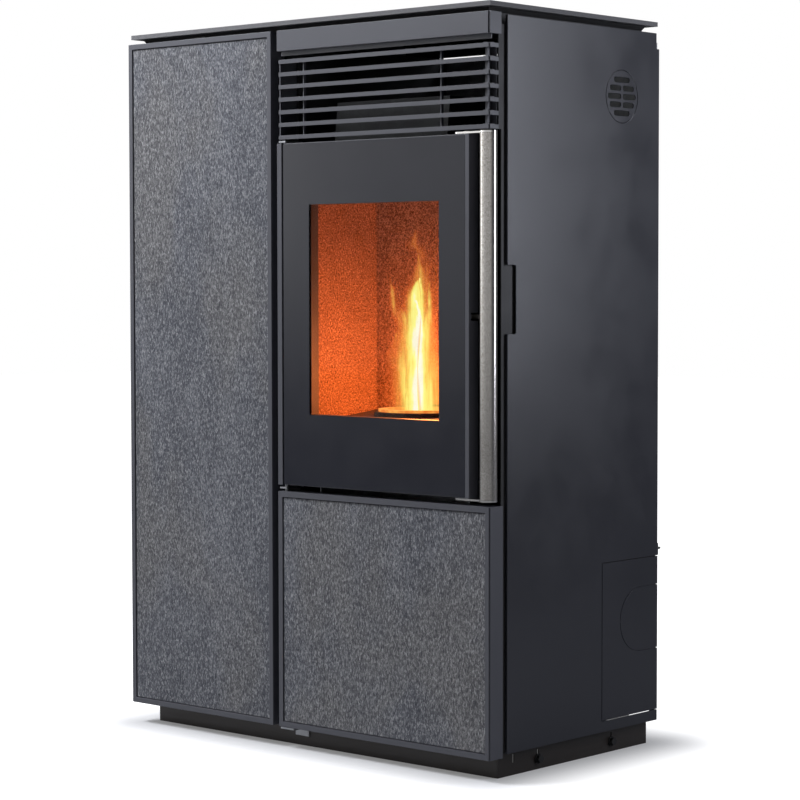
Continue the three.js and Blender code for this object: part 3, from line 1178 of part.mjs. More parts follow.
// Welded steel box with the mouth in front, the throat to the ash drawer and a tube that holds the pot.
function fireboxShell() {
  const depths = [FIRE_FRONT, SHELL_BACK];
  const inner = block(
    fireSpan(SHELL_HALF - CASTING), [FIRE_FRONT + FRONT_PLATE, SHELL_BACK - CASTING],
    [SHELL_BOTTOM + CASTING, SHELL_TOP - CASTING]);
  const mouth = block(
    fireSpan(FIRE_HALF), [FIRE_FRONT - OVER, FIRE_FRONT + FRONT_PLATE + OVER], [MOUTH_BOTTOM, MOUTH_TOP]);
  const holderDepths = [POT_D - HOLDER_HALF_DEPTH, POT_D + HOLDER_HALF_DEPTH];
  const holderZ = [SHELL_BOTTOM + CASTING / 2, HOLDER_TOP];
  const holder = curb(fireSpan(HOLDER_HALF_WIDTH), holderDepths, holderZ, CASTING);
  const shell = cut(block(fireSpan(SHELL_HALF), depths, [SHELL_BOTTOM, SHELL_TOP]), inner, mouth);
  const smokeSlot = block(
    fireSpan(GAS_SLOT_HALF), [GAS_SLOT_D, GAS_SLOT_D + GAS_SLOT_DEPTH],
    [SHELL_TOP - CASTING - OVER, SHELL_TOP + OVER]);
  add('firebox_shell', 'blackSheet', cut(
    join(shell, holder),
    throat(SHELL_BOTTOM - OVER, SHELL_BOTTOM + CASTING + OVER),
    chuteHole(SHELL_BACK - CASTING - OVER, SHELL_BACK + OVER),
    igniterHole(IGNITER_RADIUS + RUN, POT_D, SHELL_BACK + OVER),
    smokeSlot,
  ));
}

// Opening through which ash falls from the pot to the drawer.
function throat(z0, z1) {
  const depths = [POT_D - THROAT_HALF_DEPTH, POT_D + THROAT_HALF_DEPTH];
  return block(fireSpan(THROAT_HALF_WIDTH), depths, [z0, z1]);
}

// Vermiculite boards on three sides of the fire and the baffle over it.
function linings() {
  const zs = [LINING_BOTTOM, LINING_TOP];
  const outer = SHELL_HALF - CASTING - SEAT;
  const sideDepths = [FIRE_FRONT + FRONT_PLATE + SEAT, FIRE_BACK];
  const backDepths = [FIRE_BACK + SEAT, FIRE_BACK + SEAT + LINING];
  add('vermiculite_left', 'vermiculite', block([FIRE_X - outer, FIRE_X - FIRE_HALF], sideDepths, zs));
  add('vermiculite_right', 'vermiculite', block([FIRE_X + FIRE_HALF, FIRE_X + outer], sideDepths, zs));
  const throughBack = [FIRE_BACK - OVER, backDepths[1] + OVER];
  add('vermiculite_back', 'vermiculite', cut(
    block(fireSpan(outer), backDepths, zs),
    chuteHole(...throughBack),
    igniterHole(IGNITER_RADIUS + RUN, ...throughBack),
  ));
  const baffleZ = [LINING_TOP + SEAT, LINING_TOP + SEAT + BAFFLE_THICKNESS];
  add('baffle_plate', 'vermiculite', block(fireSpan(outer), [BAFFLE_FRONT, backDepths[1]], baffleZ));
}

// Cast hearth: arched from side to side, lower towards the door, with a raised seat round the pot.
function hearthPlate() {
  const half = FIRE_HALF - SEAT;
  const steps = 12;
  const arch = (drop) => Array.from({ length: steps + 1 }, (_, i) => {
    const u = (2 * i) / steps - 1;
    return [FIRE_X + u * half, HEARTH_CROWN - HEARTH_ARCH * u * u - drop];
  });
  const section = outline([...arch(HEARTH_THICKNESS), ...arch(0).reverse()]);
  const depths = [FIRE_FRONT + FRONT_PLATE + SEAT, FIRE_BACK - SEAT];
  const lean = new THREE.Matrix4().set(
    1, 0, 0, 0,
    0, 1, 0, 0,
    0, HEARTH_SLOPE, 1, -HEARTH_SLOPE * deep(FIRE_BACK),
    0, 0, 0, 1);
  const plate = prism(section, 'y', ...depths).transform(lean.elements);
  const skirtDepths = [POT_D - HOLDER_HALF_DEPTH + SHEET, POT_D + HOLDER_HALF_DEPTH - SHEET];
  const skirtZ = [HOLDER_TOP + SEAT, HOLDER_TOP + HEARTH_SKIRT];
  const skirt = block(fireSpan(HOLDER_HALF_WIDTH - SHEET), skirtDepths, skirtZ);
  const bossRadius = POT_RADIUS + HEARTH_BOSS;
  const boss = rod(FIRE_X, POT_D, bossRadius, 'z', skirtZ[1] - SHEET, POT_TOP - SEAT, 32);
  const well = rod(FIRE_X, POT_D, POT_RADIUS + POT_LIFT, 'z', HOLDER_TOP - OVER, POT_TOP + OVER, 32);
  const overBoss = rod(FIRE_X, POT_D, bossRadius, 'z', POT_TOP - SEAT, HEARTH_CROWN + OVER, 32);
  add('hearth_plate', 'castIron', cut(join(plate, skirt, boss), well, overBoss));
}

// Cast pot with a flange that rests on the hearth, air holes in its floor and one for the igniter.
function burnPot() {
  const floorZ = POT_TOP - POT_DEPTH;
  const rimTop = POT_TOP + POT_RIM;
  const cup = rod(FIRE_X, POT_D, POT_RADIUS, 'z', floorZ, POT_TOP + OVER, 28);
  const flange = rod(FIRE_X, POT_D, POT_RADIUS + POT_FLANGE, 'z', POT_TOP, rimTop, 28);
  const inside = rod(FIRE_X, POT_D, POT_RADIUS - POT_WALL, 'z', floorZ + POT_WALL, rimTop + OVER, 28);
  const holes = POT_HOLE_RINGS.flatMap(([radius, count]) => radial(count, (degrees) => {
    const angle = THREE.MathUtils.degToRad(degrees);
    const [x, d] = [FIRE_X + radius * Math.cos(angle), POT_D + radius * Math.sin(angle)];
    return rod(x, d, POT_HOLE_RADIUS, 'z', floorZ - OVER, floorZ + POT_WALL + OVER, 6);
  }));
  holes.push(igniterHole(IGNITER_RADIUS + IGNITER_ROOM, POT_D, POT_D + POT_RADIUS + OVER));
  add('burn_pot', 'castIron', cut(join(cup, flange), inside, holes));
}

// Ceramic igniter rod with its collar on the firebox's rear wall.
function igniter() {
  const tip = POT_D + POT_RADIUS + IGNITER_GAP;
  const back = SHELL_BACK + SEAT;
  add('igniter', 'ceramic', join(
    igniterHole(IGNITER_RADIUS, tip, back + IGNITER_TAIL),
    igniterHole(IGNITER_RADIUS * 2, back, back + IGNITER_COLLAR),
  ));
}

// Heat exchanger hood over the firebox; its duct carries the smoke down to the fan.
function exchangerHood() {
  const base = SHELL_TOP + SEAT;
  const top = base + HOOD_HEIGHT;
  const duct = [DUCT_LEFT, DUCT_LEFT + DUCT_WIDTH];
  const ductD = [SHELL_BACK + SEAT, SHELL_BACK + SEAT + DUCT_DEPTH];
  const shape = (wall, below) => {
    const section = outline([
      [HOOD_FRONT + wall, base - below], [SHELL_BACK - wall, base - below],
      [SHELL_BACK - HOOD_SLOPE - wall, top - wall], [HOOD_FRONT + HOOD_SLOPE + wall, top - wall]]);
    const hood = prism(section, 'x', FIRE_X - HOOD_HALF_WIDTH + wall, FIRE_X + HOOD_HALF_WIDTH - wall);
    const link = block(
      [duct[0] + wall, duct[1] - wall], [SHELL_BACK - 3 * HOOD_SLOPE, ductD[1] - wall],
      [base + SHEET + wall, top - HOOD_SLOPE - wall]);
    const drop = block(
      [duct[0] + wall, duct[1] - wall], [ductD[0] + wall, ductD[1] - wall],
      [DUCT_BOTTOM - below, top - HOOD_SLOPE - wall]);
    return join(hood, link, drop);
  };
  add('exchanger_hood', 'galvanised', cut(shape(0, 0), shape(SHEET, 1)));
}

// Stand under the firebox; the ash drawer slides on its shelf.
function drawerHousing() {
  const xs = fireSpan(HOUSING_HALF);
  const inside = fireSpan(HOUSING_HALF - SHEET);
  const depths = [HOUSING_FRONT, HOUSING_BACK];
  const top = SHELL_BOTTOM - SEAT;
  const room = (z0, z1) => block(inside, [HOUSING_FRONT - OVER, HOUSING_BACK - SHEET], [z0, z1]);
  const throughBack = [HOUSING_BACK - SHEET - OVER, HOUSING_BACK + OVER];
  const body = cut(
    block(xs, depths, [FLOOR_Z, top]),
    room(SHELF_Z + SHEET, top - SHEET),
    room(FLOOR_Z - OVER, SHELF_Z),
    throat(top - SHEET - OVER, top + OVER),
    rod(INTAKE_X, INTAKE_Z, INTAKE_RADIUS - INTAKE_WALL, 'y', ...throughBack, 28),
    rod(SMOKE_FAN_X, SMOKE_FAN_Z, SMOKE_MOTOR_RADIUS + MOTOR_HOLE_ROOM, 'y', ...throughBack, 28),
  );
  add('drawer_housing', 'galvanised', body);
}

// Ash drawer: a bin behind a wider front with a folded pull.
function ashDrawer() {
  const outer = HOUSING_HALF - SHEET - SEAT;
  const base = SHELF_Z + SHEET + SEAT;
  const depths = [HOUSING_FRONT + SEAT, HOUSING_FRONT + SEAT + DRAWER_DEPTH];
  const bin = block(fireSpan(outer), depths, [base, base + DRAWER_HEIGHT]);
  const inside = block(
    fireSpan(outer - DRAWER_WALL), [depths[0] + DRAWER_WALL, depths[1] - DRAWER_WALL],
    [base + DRAWER_WALL, base + DRAWER_HEIGHT + OVER]);
  const front = block(
    fireSpan(HOUSING_HALF), [HOUSING_FRONT - SEAT - SHEET, HOUSING_FRONT - SEAT],
    [base, base + DRAWER_FRONT_HEIGHT]);
  const link = block(
    fireSpan(outer), [HOUSING_FRONT - SHEET, depths[0] + OVER], [base, base + DRAWER_HEIGHT]);
  const pull = block(
    fireSpan(DRAWER_PULL_HALF), [HOUSING_FRONT - SHEET - DRAWER_PULL, HOUSING_FRONT - SHEET],
    [base + DRAWER_FRONT_HEIGHT - SHEET, base + DRAWER_FRONT_HEIGHT]);
  add('ash_drawer', 'galvanised', cut(join(bin, front, link, pull), inside));
}

// ---------------------------------------------------------------- hopper and feed

// Pellet hopper: a bin whose funnel ends on the feed tube, with a sealing rim and a mounting flange.
function hopperBin() {
  const throatXs = [AUGER_X0 + THROAT_START, AUGER_X0 + THROAT_START + THROAT_LENGTH];
  const throatDepths = [AUGER_D - THROAT_HALF, AUGER_D + THROAT_HALF];
  const row = ([x0, x1], [d0, d1], z, inset) =>
    rectangle([x0 + inset, x1 - inset], [d0 + inset, d1 - inset], z);
  const bin = (inset, bottom, brim) => loft([
    row(throatXs, throatDepths, bottom, inset),
    row(throatXs, throatDepths, HOPPER_THROAT_Z, inset),
    row([HOPPER_LEFT, HOPPER_RIGHT], [HOPPER_FRONT, HOPPER_BACK], HOPPER_SHOULDER, inset),
    row([HOPPER_LEFT, HOPPER_RIGHT], [HOPPER_FRONT, HOPPER_BACK], brim, inset),
  ]);
  const flange = block(
    [CASE_IN_LEFT + SEAT, DIVIDER_X - SEAT], [HOPPER_FRONT - HOPPER_FLANGE, HOPPER_BACK + HOPPER_FLANGE],
    [FRAME_TOP - SHEET, FRAME_TOP]);
  const mouth = block(
    [HOPPER_LEFT + SEAL_WIDTH, HOPPER_RIGHT - SEAL_WIDTH],
    [HOPPER_FRONT + SEAL_WIDTH, HOPPER_BACK - SEAL_WIDTH],
    [HOPPER_TOP - 2 * HOPPER_SHEET, HOPPER_TOP + OVER]);
  const tube = alongAuger(bar(AUGER_TUBE_RADIUS + SEAT, -THROAT_LENGTH, 3 * THROAT_LENGTH, 40));
  const reach = 2 * THROAT_LENGTH;
  const below = alongAuger(box([0, reach], [-reach, reach], [-reach, 2 * reach]));
  const inside = bin(HOPPER_SHEET, AUGER_Z0 - OVER, HOPPER_TOP - HOPPER_SHEET);
  add('hopper_bin', 'galvanised', cut(
    join(bin(0, AUGER_Z0, HOPPER_TOP), flange), inside, mouth, tube, below));
}

// Finger guard across the hopper.
function hopperGrid() {
  const inset = HOPPER_SHEET + SEAT;
  const xs = [HOPPER_LEFT + inset, HOPPER_RIGHT - inset];
  const depths = [HOPPER_FRONT + inset, HOPPER_BACK - inset];
  const zs = [HEIGHT - GRID_DROP - GRID_THICKNESS, HEIGHT - GRID_DROP];
  const pitchX = (xs[1] - xs[0] - GRID_BAR) / GRID_COLUMNS;
  const pitchD = (depths[1] - depths[0] - GRID_BAR) / GRID_ROWS;
  const holes = [];
  for (let column = 0; column < GRID_COLUMNS; column += 1) {
    for (let row = 0; row < GRID_ROWS; row += 1) {
      const x = xs[0] + GRID_BAR + column * pitchX;
      const d = depths[0] + GRID_BAR + row * pitchD;
      const hole = [[x, x + pitchX - GRID_BAR], [d, d + pitchD - GRID_BAR]];
      holes.push(block(...hole, [zs[0] - OVER, zs[1] + OVER]));
    }
  }
  add('hopper_grid', 'galvanised', cut(block(xs, depths, zs), holes));
}

// Feed tube, open on top where the hopper's throat meets it.
function augerTube() {
  const { length } = augerAxis();
  const bore = bar(AUGER_TUBE_RADIUS - AUGER_TUBE_WALL, -OVER, length + OVER, 28);
  const inletStart = AUGER_X0 + THROAT_START;
  const inletXs = [inletStart + HOPPER_SHEET, inletStart + THROAT_LENGTH - HOPPER_SHEET];
  const inletDepths = [AUGER_D - THROAT_HALF + THROAT_LEDGE, AUGER_D + THROAT_HALF - THROAT_LEDGE];
  const inlet = block(inletXs, inletDepths, [AUGER_Z0 + AUGER_TUBE_RADIUS, HOPPER_THROAT_Z]);
  const tube = alongAuger(cut(bar(AUGER_TUBE_RADIUS, 0, length, 28), bore));
  add('auger_tube', 'steel', cut(tube, inlet));
}

// Feed screw: one helical flight on a shaft, with a thinner tail in the gear motor.
function augerScrew() {
  const { length } = augerAxis();
  const end = length - SCREW_END_GAP;
  const stepsPerTurn = 8;
  const turns = (end - 2 * SCREW_FLIGHT - SCREW_END_GAP) / SCREW_PITCH;
  const steps = Math.round(turns * stepsPerTurn);
  const rows = [];
  for (let i = 0; i <= steps; i += 1) {
    const angle = (2 * Math.PI * i) / stepsPerTurn;
    const z = SCREW_END_GAP + (i * SCREW_PITCH) / stepsPerTurn;
    const point = (radius, rise) => [radius * Math.cos(angle), radius * Math.sin(angle), z + rise];
    rows.push([
      point(SCREW_SHAFT / 2, 0), point(SCREW_SHAFT / 2, SCREW_FLIGHT),
      point(SCREW_RADIUS, SCREW_FLIGHT), point(SCREW_RADIUS, 0),
    ]);
  }
  const flight = loft(rows);
  const shaft = bar(SCREW_SHAFT, SCREW_END_GAP - OVER, end, 8);
  const tail = bar(SCREW_TAIL, -SCREW_TAIL_LENGTH, SCREW_END_GAP, 12);
  add('auger_screw', 'steel', alongAuger(join(shaft, tail, flight)));
}

// Gear motor on the screw's lower end.
function augerGearmotor() {
  const face = -SEAT;
  const half = AUGER_TUBE_RADIUS + SHEET;
  const gearbox = box([-half, half], [-half, half], [face - GEARBOX_LENGTH, face]);
  const motorTop = face - GEARBOX_LENGTH + OVER;
  const motor = bar(GEAR_MOTOR_RADIUS, motorTop - OVER - GEAR_MOTOR_LENGTH, motorTop, 24);
  const bore = bar(SCREW_TAIL + RUN, -SCREW_TAIL_LENGTH - OVER, OVER, 16);
  add('auger_gearmotor', 'castIron', alongAuger(cut(join(gearbox, motor), bore)));
}

// Box behind the firebox into which the screw drops the pellets; they slide through the rear lining.
function pelletChute() {
  const near = SHELL_BACK + SEAT;
  const far = AUGER_D + AUGER_TUBE_RADIUS + CHUTE_ROOM;
  const top = AUGER_Z1 + AUGER_TUBE_RADIUS + CHUTE_ROOM;
  const section = (inset) => outline([
    [near - inset, CHUTE_BOTTOM - SHEET + inset], [far - inset, CHUTE_BOTTOM - SHEET + CHUTE_SLOPE + inset],
    [far - inset, top - inset], [AUGER_D - AUGER_TUBE_RADIUS + inset, top - inset],
    [near - inset, CHUTE_BOTTOM + CHUTE_HEIGHT + SHEET - inset]]);
  const half = CHUTE_WIDTH / 2 + SHEET;
  const outer = prism(section(0), 'x', FIRE_X - half, FIRE_X + half);
  const inner = prism(section(SHEET), 'x', FIRE_X - half + SHEET, FIRE_X + half - SHEET);
  const { length } = augerAxis();
  const passage = alongAuger(bar(AUGER_TUBE_RADIUS + SEAT, length / 2, length + SEAT, 28));
  add('pellet_chute', 'galvanised', cut(outer, inner, passage));
}

// ---------------------------------------------------------------- fans, air and power

// Smoke fan: housing with the flue collar, impeller, and a motor in the room under the ash drawer.
function smokeFan() {
  const depths = [SMOKE_FAN_FRONT, SMOKE_FAN_FRONT + SMOKE_FAN_DEPTH];
  const inside = [depths[0] + SHEET, depths[1] - SHEET];
  const shape = (wall, [d0, d1], lift) => join(
    rod(SMOKE_FAN_X, SMOKE_FAN_Z, SMOKE_FAN_RADIUS - wall, 'y', d0, d1, 32),
    block(
      [SMOKE_FAN_X, FLUE_X + FLUE_RADIUS + SHEET - wall], [d0, d1],
      [FLUE_Z - FLUE_RADIUS - SHEET + wall, SMOKE_FAN_Z + SMOKE_FAN_RADIUS - wall]),
    block(
      [DUCT_LEFT + wall, DUCT_LEFT + DUCT_WIDTH - wall], [d0, SHELL_BACK + SEAT + DUCT_DEPTH - wall],
      [SMOKE_FAN_Z, DUCT_BOTTOM - SEAT + lift]),
  );
  const collarEnd = RECESS_FRONT + COLLAR_REACH;
  const collar = rod(FLUE_X, FLUE_Z, FLUE_RADIUS, 'y', inside[1], collarEnd, 32);
  const collarBore = rod(
    FLUE_X, FLUE_Z, FLUE_RADIUS - FLUE_WALL, 'y', inside[1] - OVER, collarEnd + OVER, 32);
  const shaftHole = rod(
    SMOKE_FAN_X, SMOKE_FAN_Z, MOTOR_SHAFT + RUN, 'y', depths[0] - OVER, inside[0] + OVER, 16);
  add('smoke_fan_housing', 'galvanised', cut(
    join(shape(0, depths, 0), collar), shape(SHEET, inside, 1), collarBore, shaftHole));

  const front = inside[0] + IMPELLER_GAP;
  const width = SMOKE_FAN_DEPTH - 2 * SHEET - 2 * IMPELLER_GAP;
  const blades = radial(IMPELLER_BLADES, (angle) => {
    const blade = box([FAN_HUB_RADIUS - SHEET, IMPELLER_RADIUS], [0, width], [-SHEET / 2, SHEET / 2]);
    return blade.rotate([0, angle, 0]).translate([SMOKE_FAN_X, deep(front), SMOKE_FAN_Z]);
  });
  const plate = rod(SMOKE_FAN_X, SMOKE_FAN_Z, IMPELLER_RADIUS, 'y', front, front + SHEET, 28);
  const hub = rod(SMOKE_FAN_X, SMOKE_FAN_Z, FAN_HUB_RADIUS, 'y', front, front + width, 12);
  const hubBore = rod(
    SMOKE_FAN_X, SMOKE_FAN_Z, MOTOR_SHAFT + RUN, 'y', front - OVER, front + width + OVER, 16);
  add('smoke_fan_impeller', 'steel', cut(join(plate, hub, blades), hubBore));

  const motorBack = SMOKE_FAN_FRONT - SEAT;
  add('smoke_fan_motor', 'castIron', join(
    rod(SMOKE_FAN_X, SMOKE_FAN_Z, SMOKE_MOTOR_RADIUS, 'y', motorBack - SMOKE_MOTOR_LENGTH, motorBack, 32),
    rod(SMOKE_FAN_X, SMOKE_FAN_Z, MOTOR_SHAFT, 'y', motorBack - OVER, front + width - SHEET, 16),
  ));
}

// The same piece at equal angles, in degrees.
function radial(count, piece) {
  return Array.from({ length: count }, (_, i) => piece((360 * i) / count));
}

// Cross-flow blower for the room air, with its motor in the right-hand end.
function roomFan() {
  const xs = [ROOM_FAN_LEFT, ROOM_FAN_RIGHT];
  const [d, z] = [ROOM_FAN_D, ROOM_FAN_Z];
  const shape = (wall, lift) => join(
    rod(d, z, ROOM_FAN_RADIUS - wall, 'x', xs[0] + wall, xs[1] - wall, 32),
    block([xs[0] + wall, xs[1] - wall], [d + wall, d + ROOM_FAN_RADIUS - wall], [z, ROOM_FAN_TOP + lift]),
  );
  const footXs = [xs[0] + FOOT_INSET, xs[1] - FOOT_INSET];
  const foot = block(footXs, [d - FOOT_HALF, d + FOOT_HALF], [FLOOR_Z, z - ROOM_FAN_RADIUS + 4 * SHEET]);
  const inlet = rod(d, z, ROOM_FAN_INLET, 'x', xs[0] - OVER, xs[0] + SHEET + OVER, 32);
  const motor = rod(d, z, ROOM_MOTOR_RADIUS, 'x', xs[1] - ROOM_MOTOR_LENGTH, xs[1], 24);
  const shaft = rod(d, z, MOTOR_SHAFT, 'x', xs[0] + CAGE_GAP, xs[1] - OVER, 16);
  const housing = cut(join(shape(0, 0), foot), shape(SHEET, 1), inlet);
  add('room_fan_housing', 'galvanised', join(housing, motor, shaft));

  const cage = [xs[0] + SHEET + CAGE_GAP, xs[1] - ROOM_MOTOR_LENGTH - CAGE_GAP];
  const blades = radial(CAGE_BLADES, (angle) => {
    const blade = box(
      [0, cage[1] - cage[0]], [-SHEET / 2, SHEET / 2], [CAGE_RADIUS - CAGE_DEPTH, CAGE_RADIUS]);
    return blade.rotate([angle, 0, 0]).translate([cage[0], deep(d), z]);
  });
  const ringEnd = pipe(d, z, CAGE_RADIUS, CAGE_DEPTH, 'x', cage[0], cage[0] + SHEET, 24);
  const plateEnd = rod(d, z, CAGE_RADIUS, 'x', cage[1] - SHEET, cage[1], 24);
  const hub = rod(d, z, FAN_HUB_RADIUS, 'x', cage[1] - CAGE_HUB, cage[1], 12);
  const bore = rod(d, z, MOTOR_SHAFT + RUN, 'x', cage[0] - OVER, cage[1] + OVER, 12);
  add('room_fan_impeller', 'plastic', cut(join(ringEnd, plateEnd, hub, blades), bore));
}

// Combustion air pipe from the rear into the room round the ash drawer.
function airIntake() {
  const depths = [HOUSING_BACK + SEAT, BACK_D + INTAKE_STUB];
  add('air_intake_pipe', 'galvanised', pipe(
    INTAKE_X, INTAKE_Z, INTAKE_RADIUS, INTAKE_WALL, 'y', ...depths, 28));
}

// Mains inlet and rocker switch in one moulded body in the back panel.
function powerEntry() {
  const switchX = INLET_X + SWITCH_SPACING;
  const rear = BACK_D + SHEET + SEAT;
  const floor = rear - INLET_DEPTH;
  const flange = inletLimits(INLET_FLANGE);
  const body = inletLimits(-SEAT);
  const outward = [floor, rear + SHEET + OVER];
  const socket = block(
    [INLET_X - SOCKET_HALF_WIDTH, INLET_X + SOCKET_HALF_WIDTH], outward,
    [INLET_Z - SOCKET_HALF_HEIGHT, INLET_Z + SOCKET_HALF_HEIGHT]);
  const pins = [-SOCKET_PIN_PITCH, 0, SOCKET_PIN_PITCH].map((dz) => {
    const x = INLET_X + (dz ? -SOCKET_PIN_HALF[1] : SOCKET_PIN_HALF[1]); // the middle pin is set apart
    const z = INLET_Z + dz;
    return block(
      [x - SOCKET_PIN_HALF[0], x + SOCKET_PIN_HALF[0]], [floor - OVER, rear - SHEET],
      [z - SOCKET_PIN_HALF[1], z + SOCKET_PIN_HALF[1]]);
  });
  const [w, h] = [ROCKER_HALF_WIDTH, ROCKER_HALF_HEIGHT];
  const well = block(
    [switchX - w - SEAT, switchX + w + SEAT], outward,
    [INLET_Z - h - ROCKER_TAPER, INLET_Z + h + ROCKER_TAPER]);
  const reach = w + ROCKER_PIN_REACH;
  const pinHole = rod(
    ROCKER_D, INLET_Z, ROCKER_PIN + RUN, 'x', switchX - reach - RUN, switchX + reach + RUN, 12);
  const housing = join(
    block(body.xs, [floor - SHEET, rear + OVER], body.zs),
    block(flange.xs, [rear, rear + SHEET], flange.zs));
  add('power_inlet', 'plastic', join(cut(housing, socket, well, pinHole), pins));

  const section = outline([
    [rear - ROCKER_BACK, INLET_Z - h + ROCKER_TAPER], [rear + ROCKER_RISE[0], INLET_Z - h],
    [rear + ROCKER_RISE[1], INLET_Z], [rear + ROCKER_RISE[2], INLET_Z + h],
    [rear - ROCKER_BACK, INLET_Z + h - ROCKER_TAPER]]);
  const pin = rod(ROCKER_D, INLET_Z, ROCKER_PIN, 'x', switchX - reach, switchX + reach, 12);
  add('power_switch', 'plastic', join(prism(section, 'x', switchX - w, switchX + w), pin));
}

// Opening for the power entry in the back panel, or its outline grown by a margin.
function inletLimits(margin) {
  return {
    xs: [INLET_X - INLET_HALF_WIDTH - margin, INLET_X + SWITCH_SPACING + INLET_HALF_WIDTH + margin],
    zs: [INLET_Z - INLET_HALF_HEIGHT - margin, INLET_Z + INLET_HALF_HEIGHT + margin],
  };
}

// Boxed control board on the hopper side of the divider.
function controlBoard() {
  const xs = [DIVIDER_X - SEAT - BOARD_THICKNESS, DIVIDER_X - SEAT];
  const depths = [BOARD_FRONT, BOARD_FRONT + BOARD_WIDTH];
  const zs = [BOARD_BOTTOM, BOARD_BOTTOM + BOARD_HEIGHT];
  add('control_board', 'plastic', block(xs, depths, zs));
}

// Room thermostat probe on a clip behind the right side panel's rear flange.
function roomProbe() {
  const back = CABINET_DEPTH + SEAT;
  const z0 = COVER_TOP + COVER_GAP + SEAT;
  const right = CASE_RIGHT - PROBE_SIDE;
  const clip = block(
    [right - PROBE_CLIP_WIDTH, right], [back, back + PROBE_CLIP_DEPTH], [z0, z0 + PROBE_CLIP_HEIGHT]);
  const tip = rod(
    CASE_RIGHT - PROBE_INSET, z0 + PROBE_CLIP_HEIGHT / 2, PROBE_RADIUS, 'y', back + SHEET / 2,
    CABINET_DEPTH + PROBE_REACH, 16);
  add('room_probe', 'plastic', join(clip, tip));
}

// ---------------------------------------------------------------- the whole stove

plinth();
basePlate();
sidePanel('side_panel_right', 1);
sidePanel('side_panel_left', -1);
flueCover();
flueRecess();
backPanel();
centreDivider();
cornerPost();
topNeck();
topPlate();
controlDisplay();
tallPanel();
headerBand();
louverGrille();
hingeBrackets();
lowerDoor();
fireDoor();
handle();
fireboxShell();
linings();
hearthPlate();
burnPot();
igniter();
exchangerHood();
drawerHousing();
ashDrawer();
hopperBin();
hopperGrid();
augerTube();
augerScrew();
augerGearmotor();
pelletChute();
smokeFan();
roomFan();
airIntake();
powerEntry();
controlBoard();
roomProbe();

export default stove;
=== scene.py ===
import json
import math
import random

import bpy
from mathutils import Matrix, Vector

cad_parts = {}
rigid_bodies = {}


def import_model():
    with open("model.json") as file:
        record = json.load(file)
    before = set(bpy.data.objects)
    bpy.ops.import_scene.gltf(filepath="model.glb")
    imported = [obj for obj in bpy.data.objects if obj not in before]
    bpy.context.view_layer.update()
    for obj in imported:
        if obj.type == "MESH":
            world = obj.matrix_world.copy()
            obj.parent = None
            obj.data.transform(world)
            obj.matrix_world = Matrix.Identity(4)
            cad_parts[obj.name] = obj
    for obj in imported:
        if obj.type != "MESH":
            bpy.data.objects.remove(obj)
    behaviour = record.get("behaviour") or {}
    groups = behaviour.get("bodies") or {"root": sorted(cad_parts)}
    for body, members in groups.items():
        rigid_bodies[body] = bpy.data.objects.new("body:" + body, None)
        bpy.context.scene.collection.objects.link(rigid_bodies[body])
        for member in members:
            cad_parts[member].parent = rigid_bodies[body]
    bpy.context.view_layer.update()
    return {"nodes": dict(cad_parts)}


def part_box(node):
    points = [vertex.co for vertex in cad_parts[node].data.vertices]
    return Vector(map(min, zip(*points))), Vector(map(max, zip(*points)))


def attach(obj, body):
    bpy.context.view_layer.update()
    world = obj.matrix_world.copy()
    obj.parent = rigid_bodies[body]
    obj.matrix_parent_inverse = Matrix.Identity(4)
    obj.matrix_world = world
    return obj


for left_over in list(bpy.data.objects):
    bpy.data.objects.remove(left_over)

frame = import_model()

# Metres, +Z up. The doors face -Y and the origin is on the floor under the middle of the footprint.

# ---------------------------------------------------------------- places read from the solids

POT_LOW, POT_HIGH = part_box("burn_pot")
POT = (POT_LOW + POT_HIGH) / 2
POT_COLD, POT_HOT = POT_LOW.z + 0.022, POT_HIGH.z - 0.008  # heights between which its iron starts to glow
DOOR_LOW, DOOR_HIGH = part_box("fire_door_frame")
# The clear window in the printed door glass, by its distance from each edge of the door.
WINDOW_LEFT, WINDOW_RIGHT = 0.0668, 0.0567
WINDOW_BOTTOM, WINDOW_TOP = 0.1097, 0.0940
WINDOW_X = (DOOR_LOW.x + WINDOW_LEFT, DOOR_HIGH.x - WINDOW_RIGHT)
WINDOW_Z = (DOOR_LOW.z + WINDOW_BOTTOM, DOOR_HIGH.z - WINDOW_TOP)

# ---------------------------------------------------------------- finishes

WHITE = (1.0, 1.0, 1.0)
BLACK = (0.0, 0.0, 0.0)
NOISE_MIDDLE = (0.3, 0.7)  # where most of a noise lies


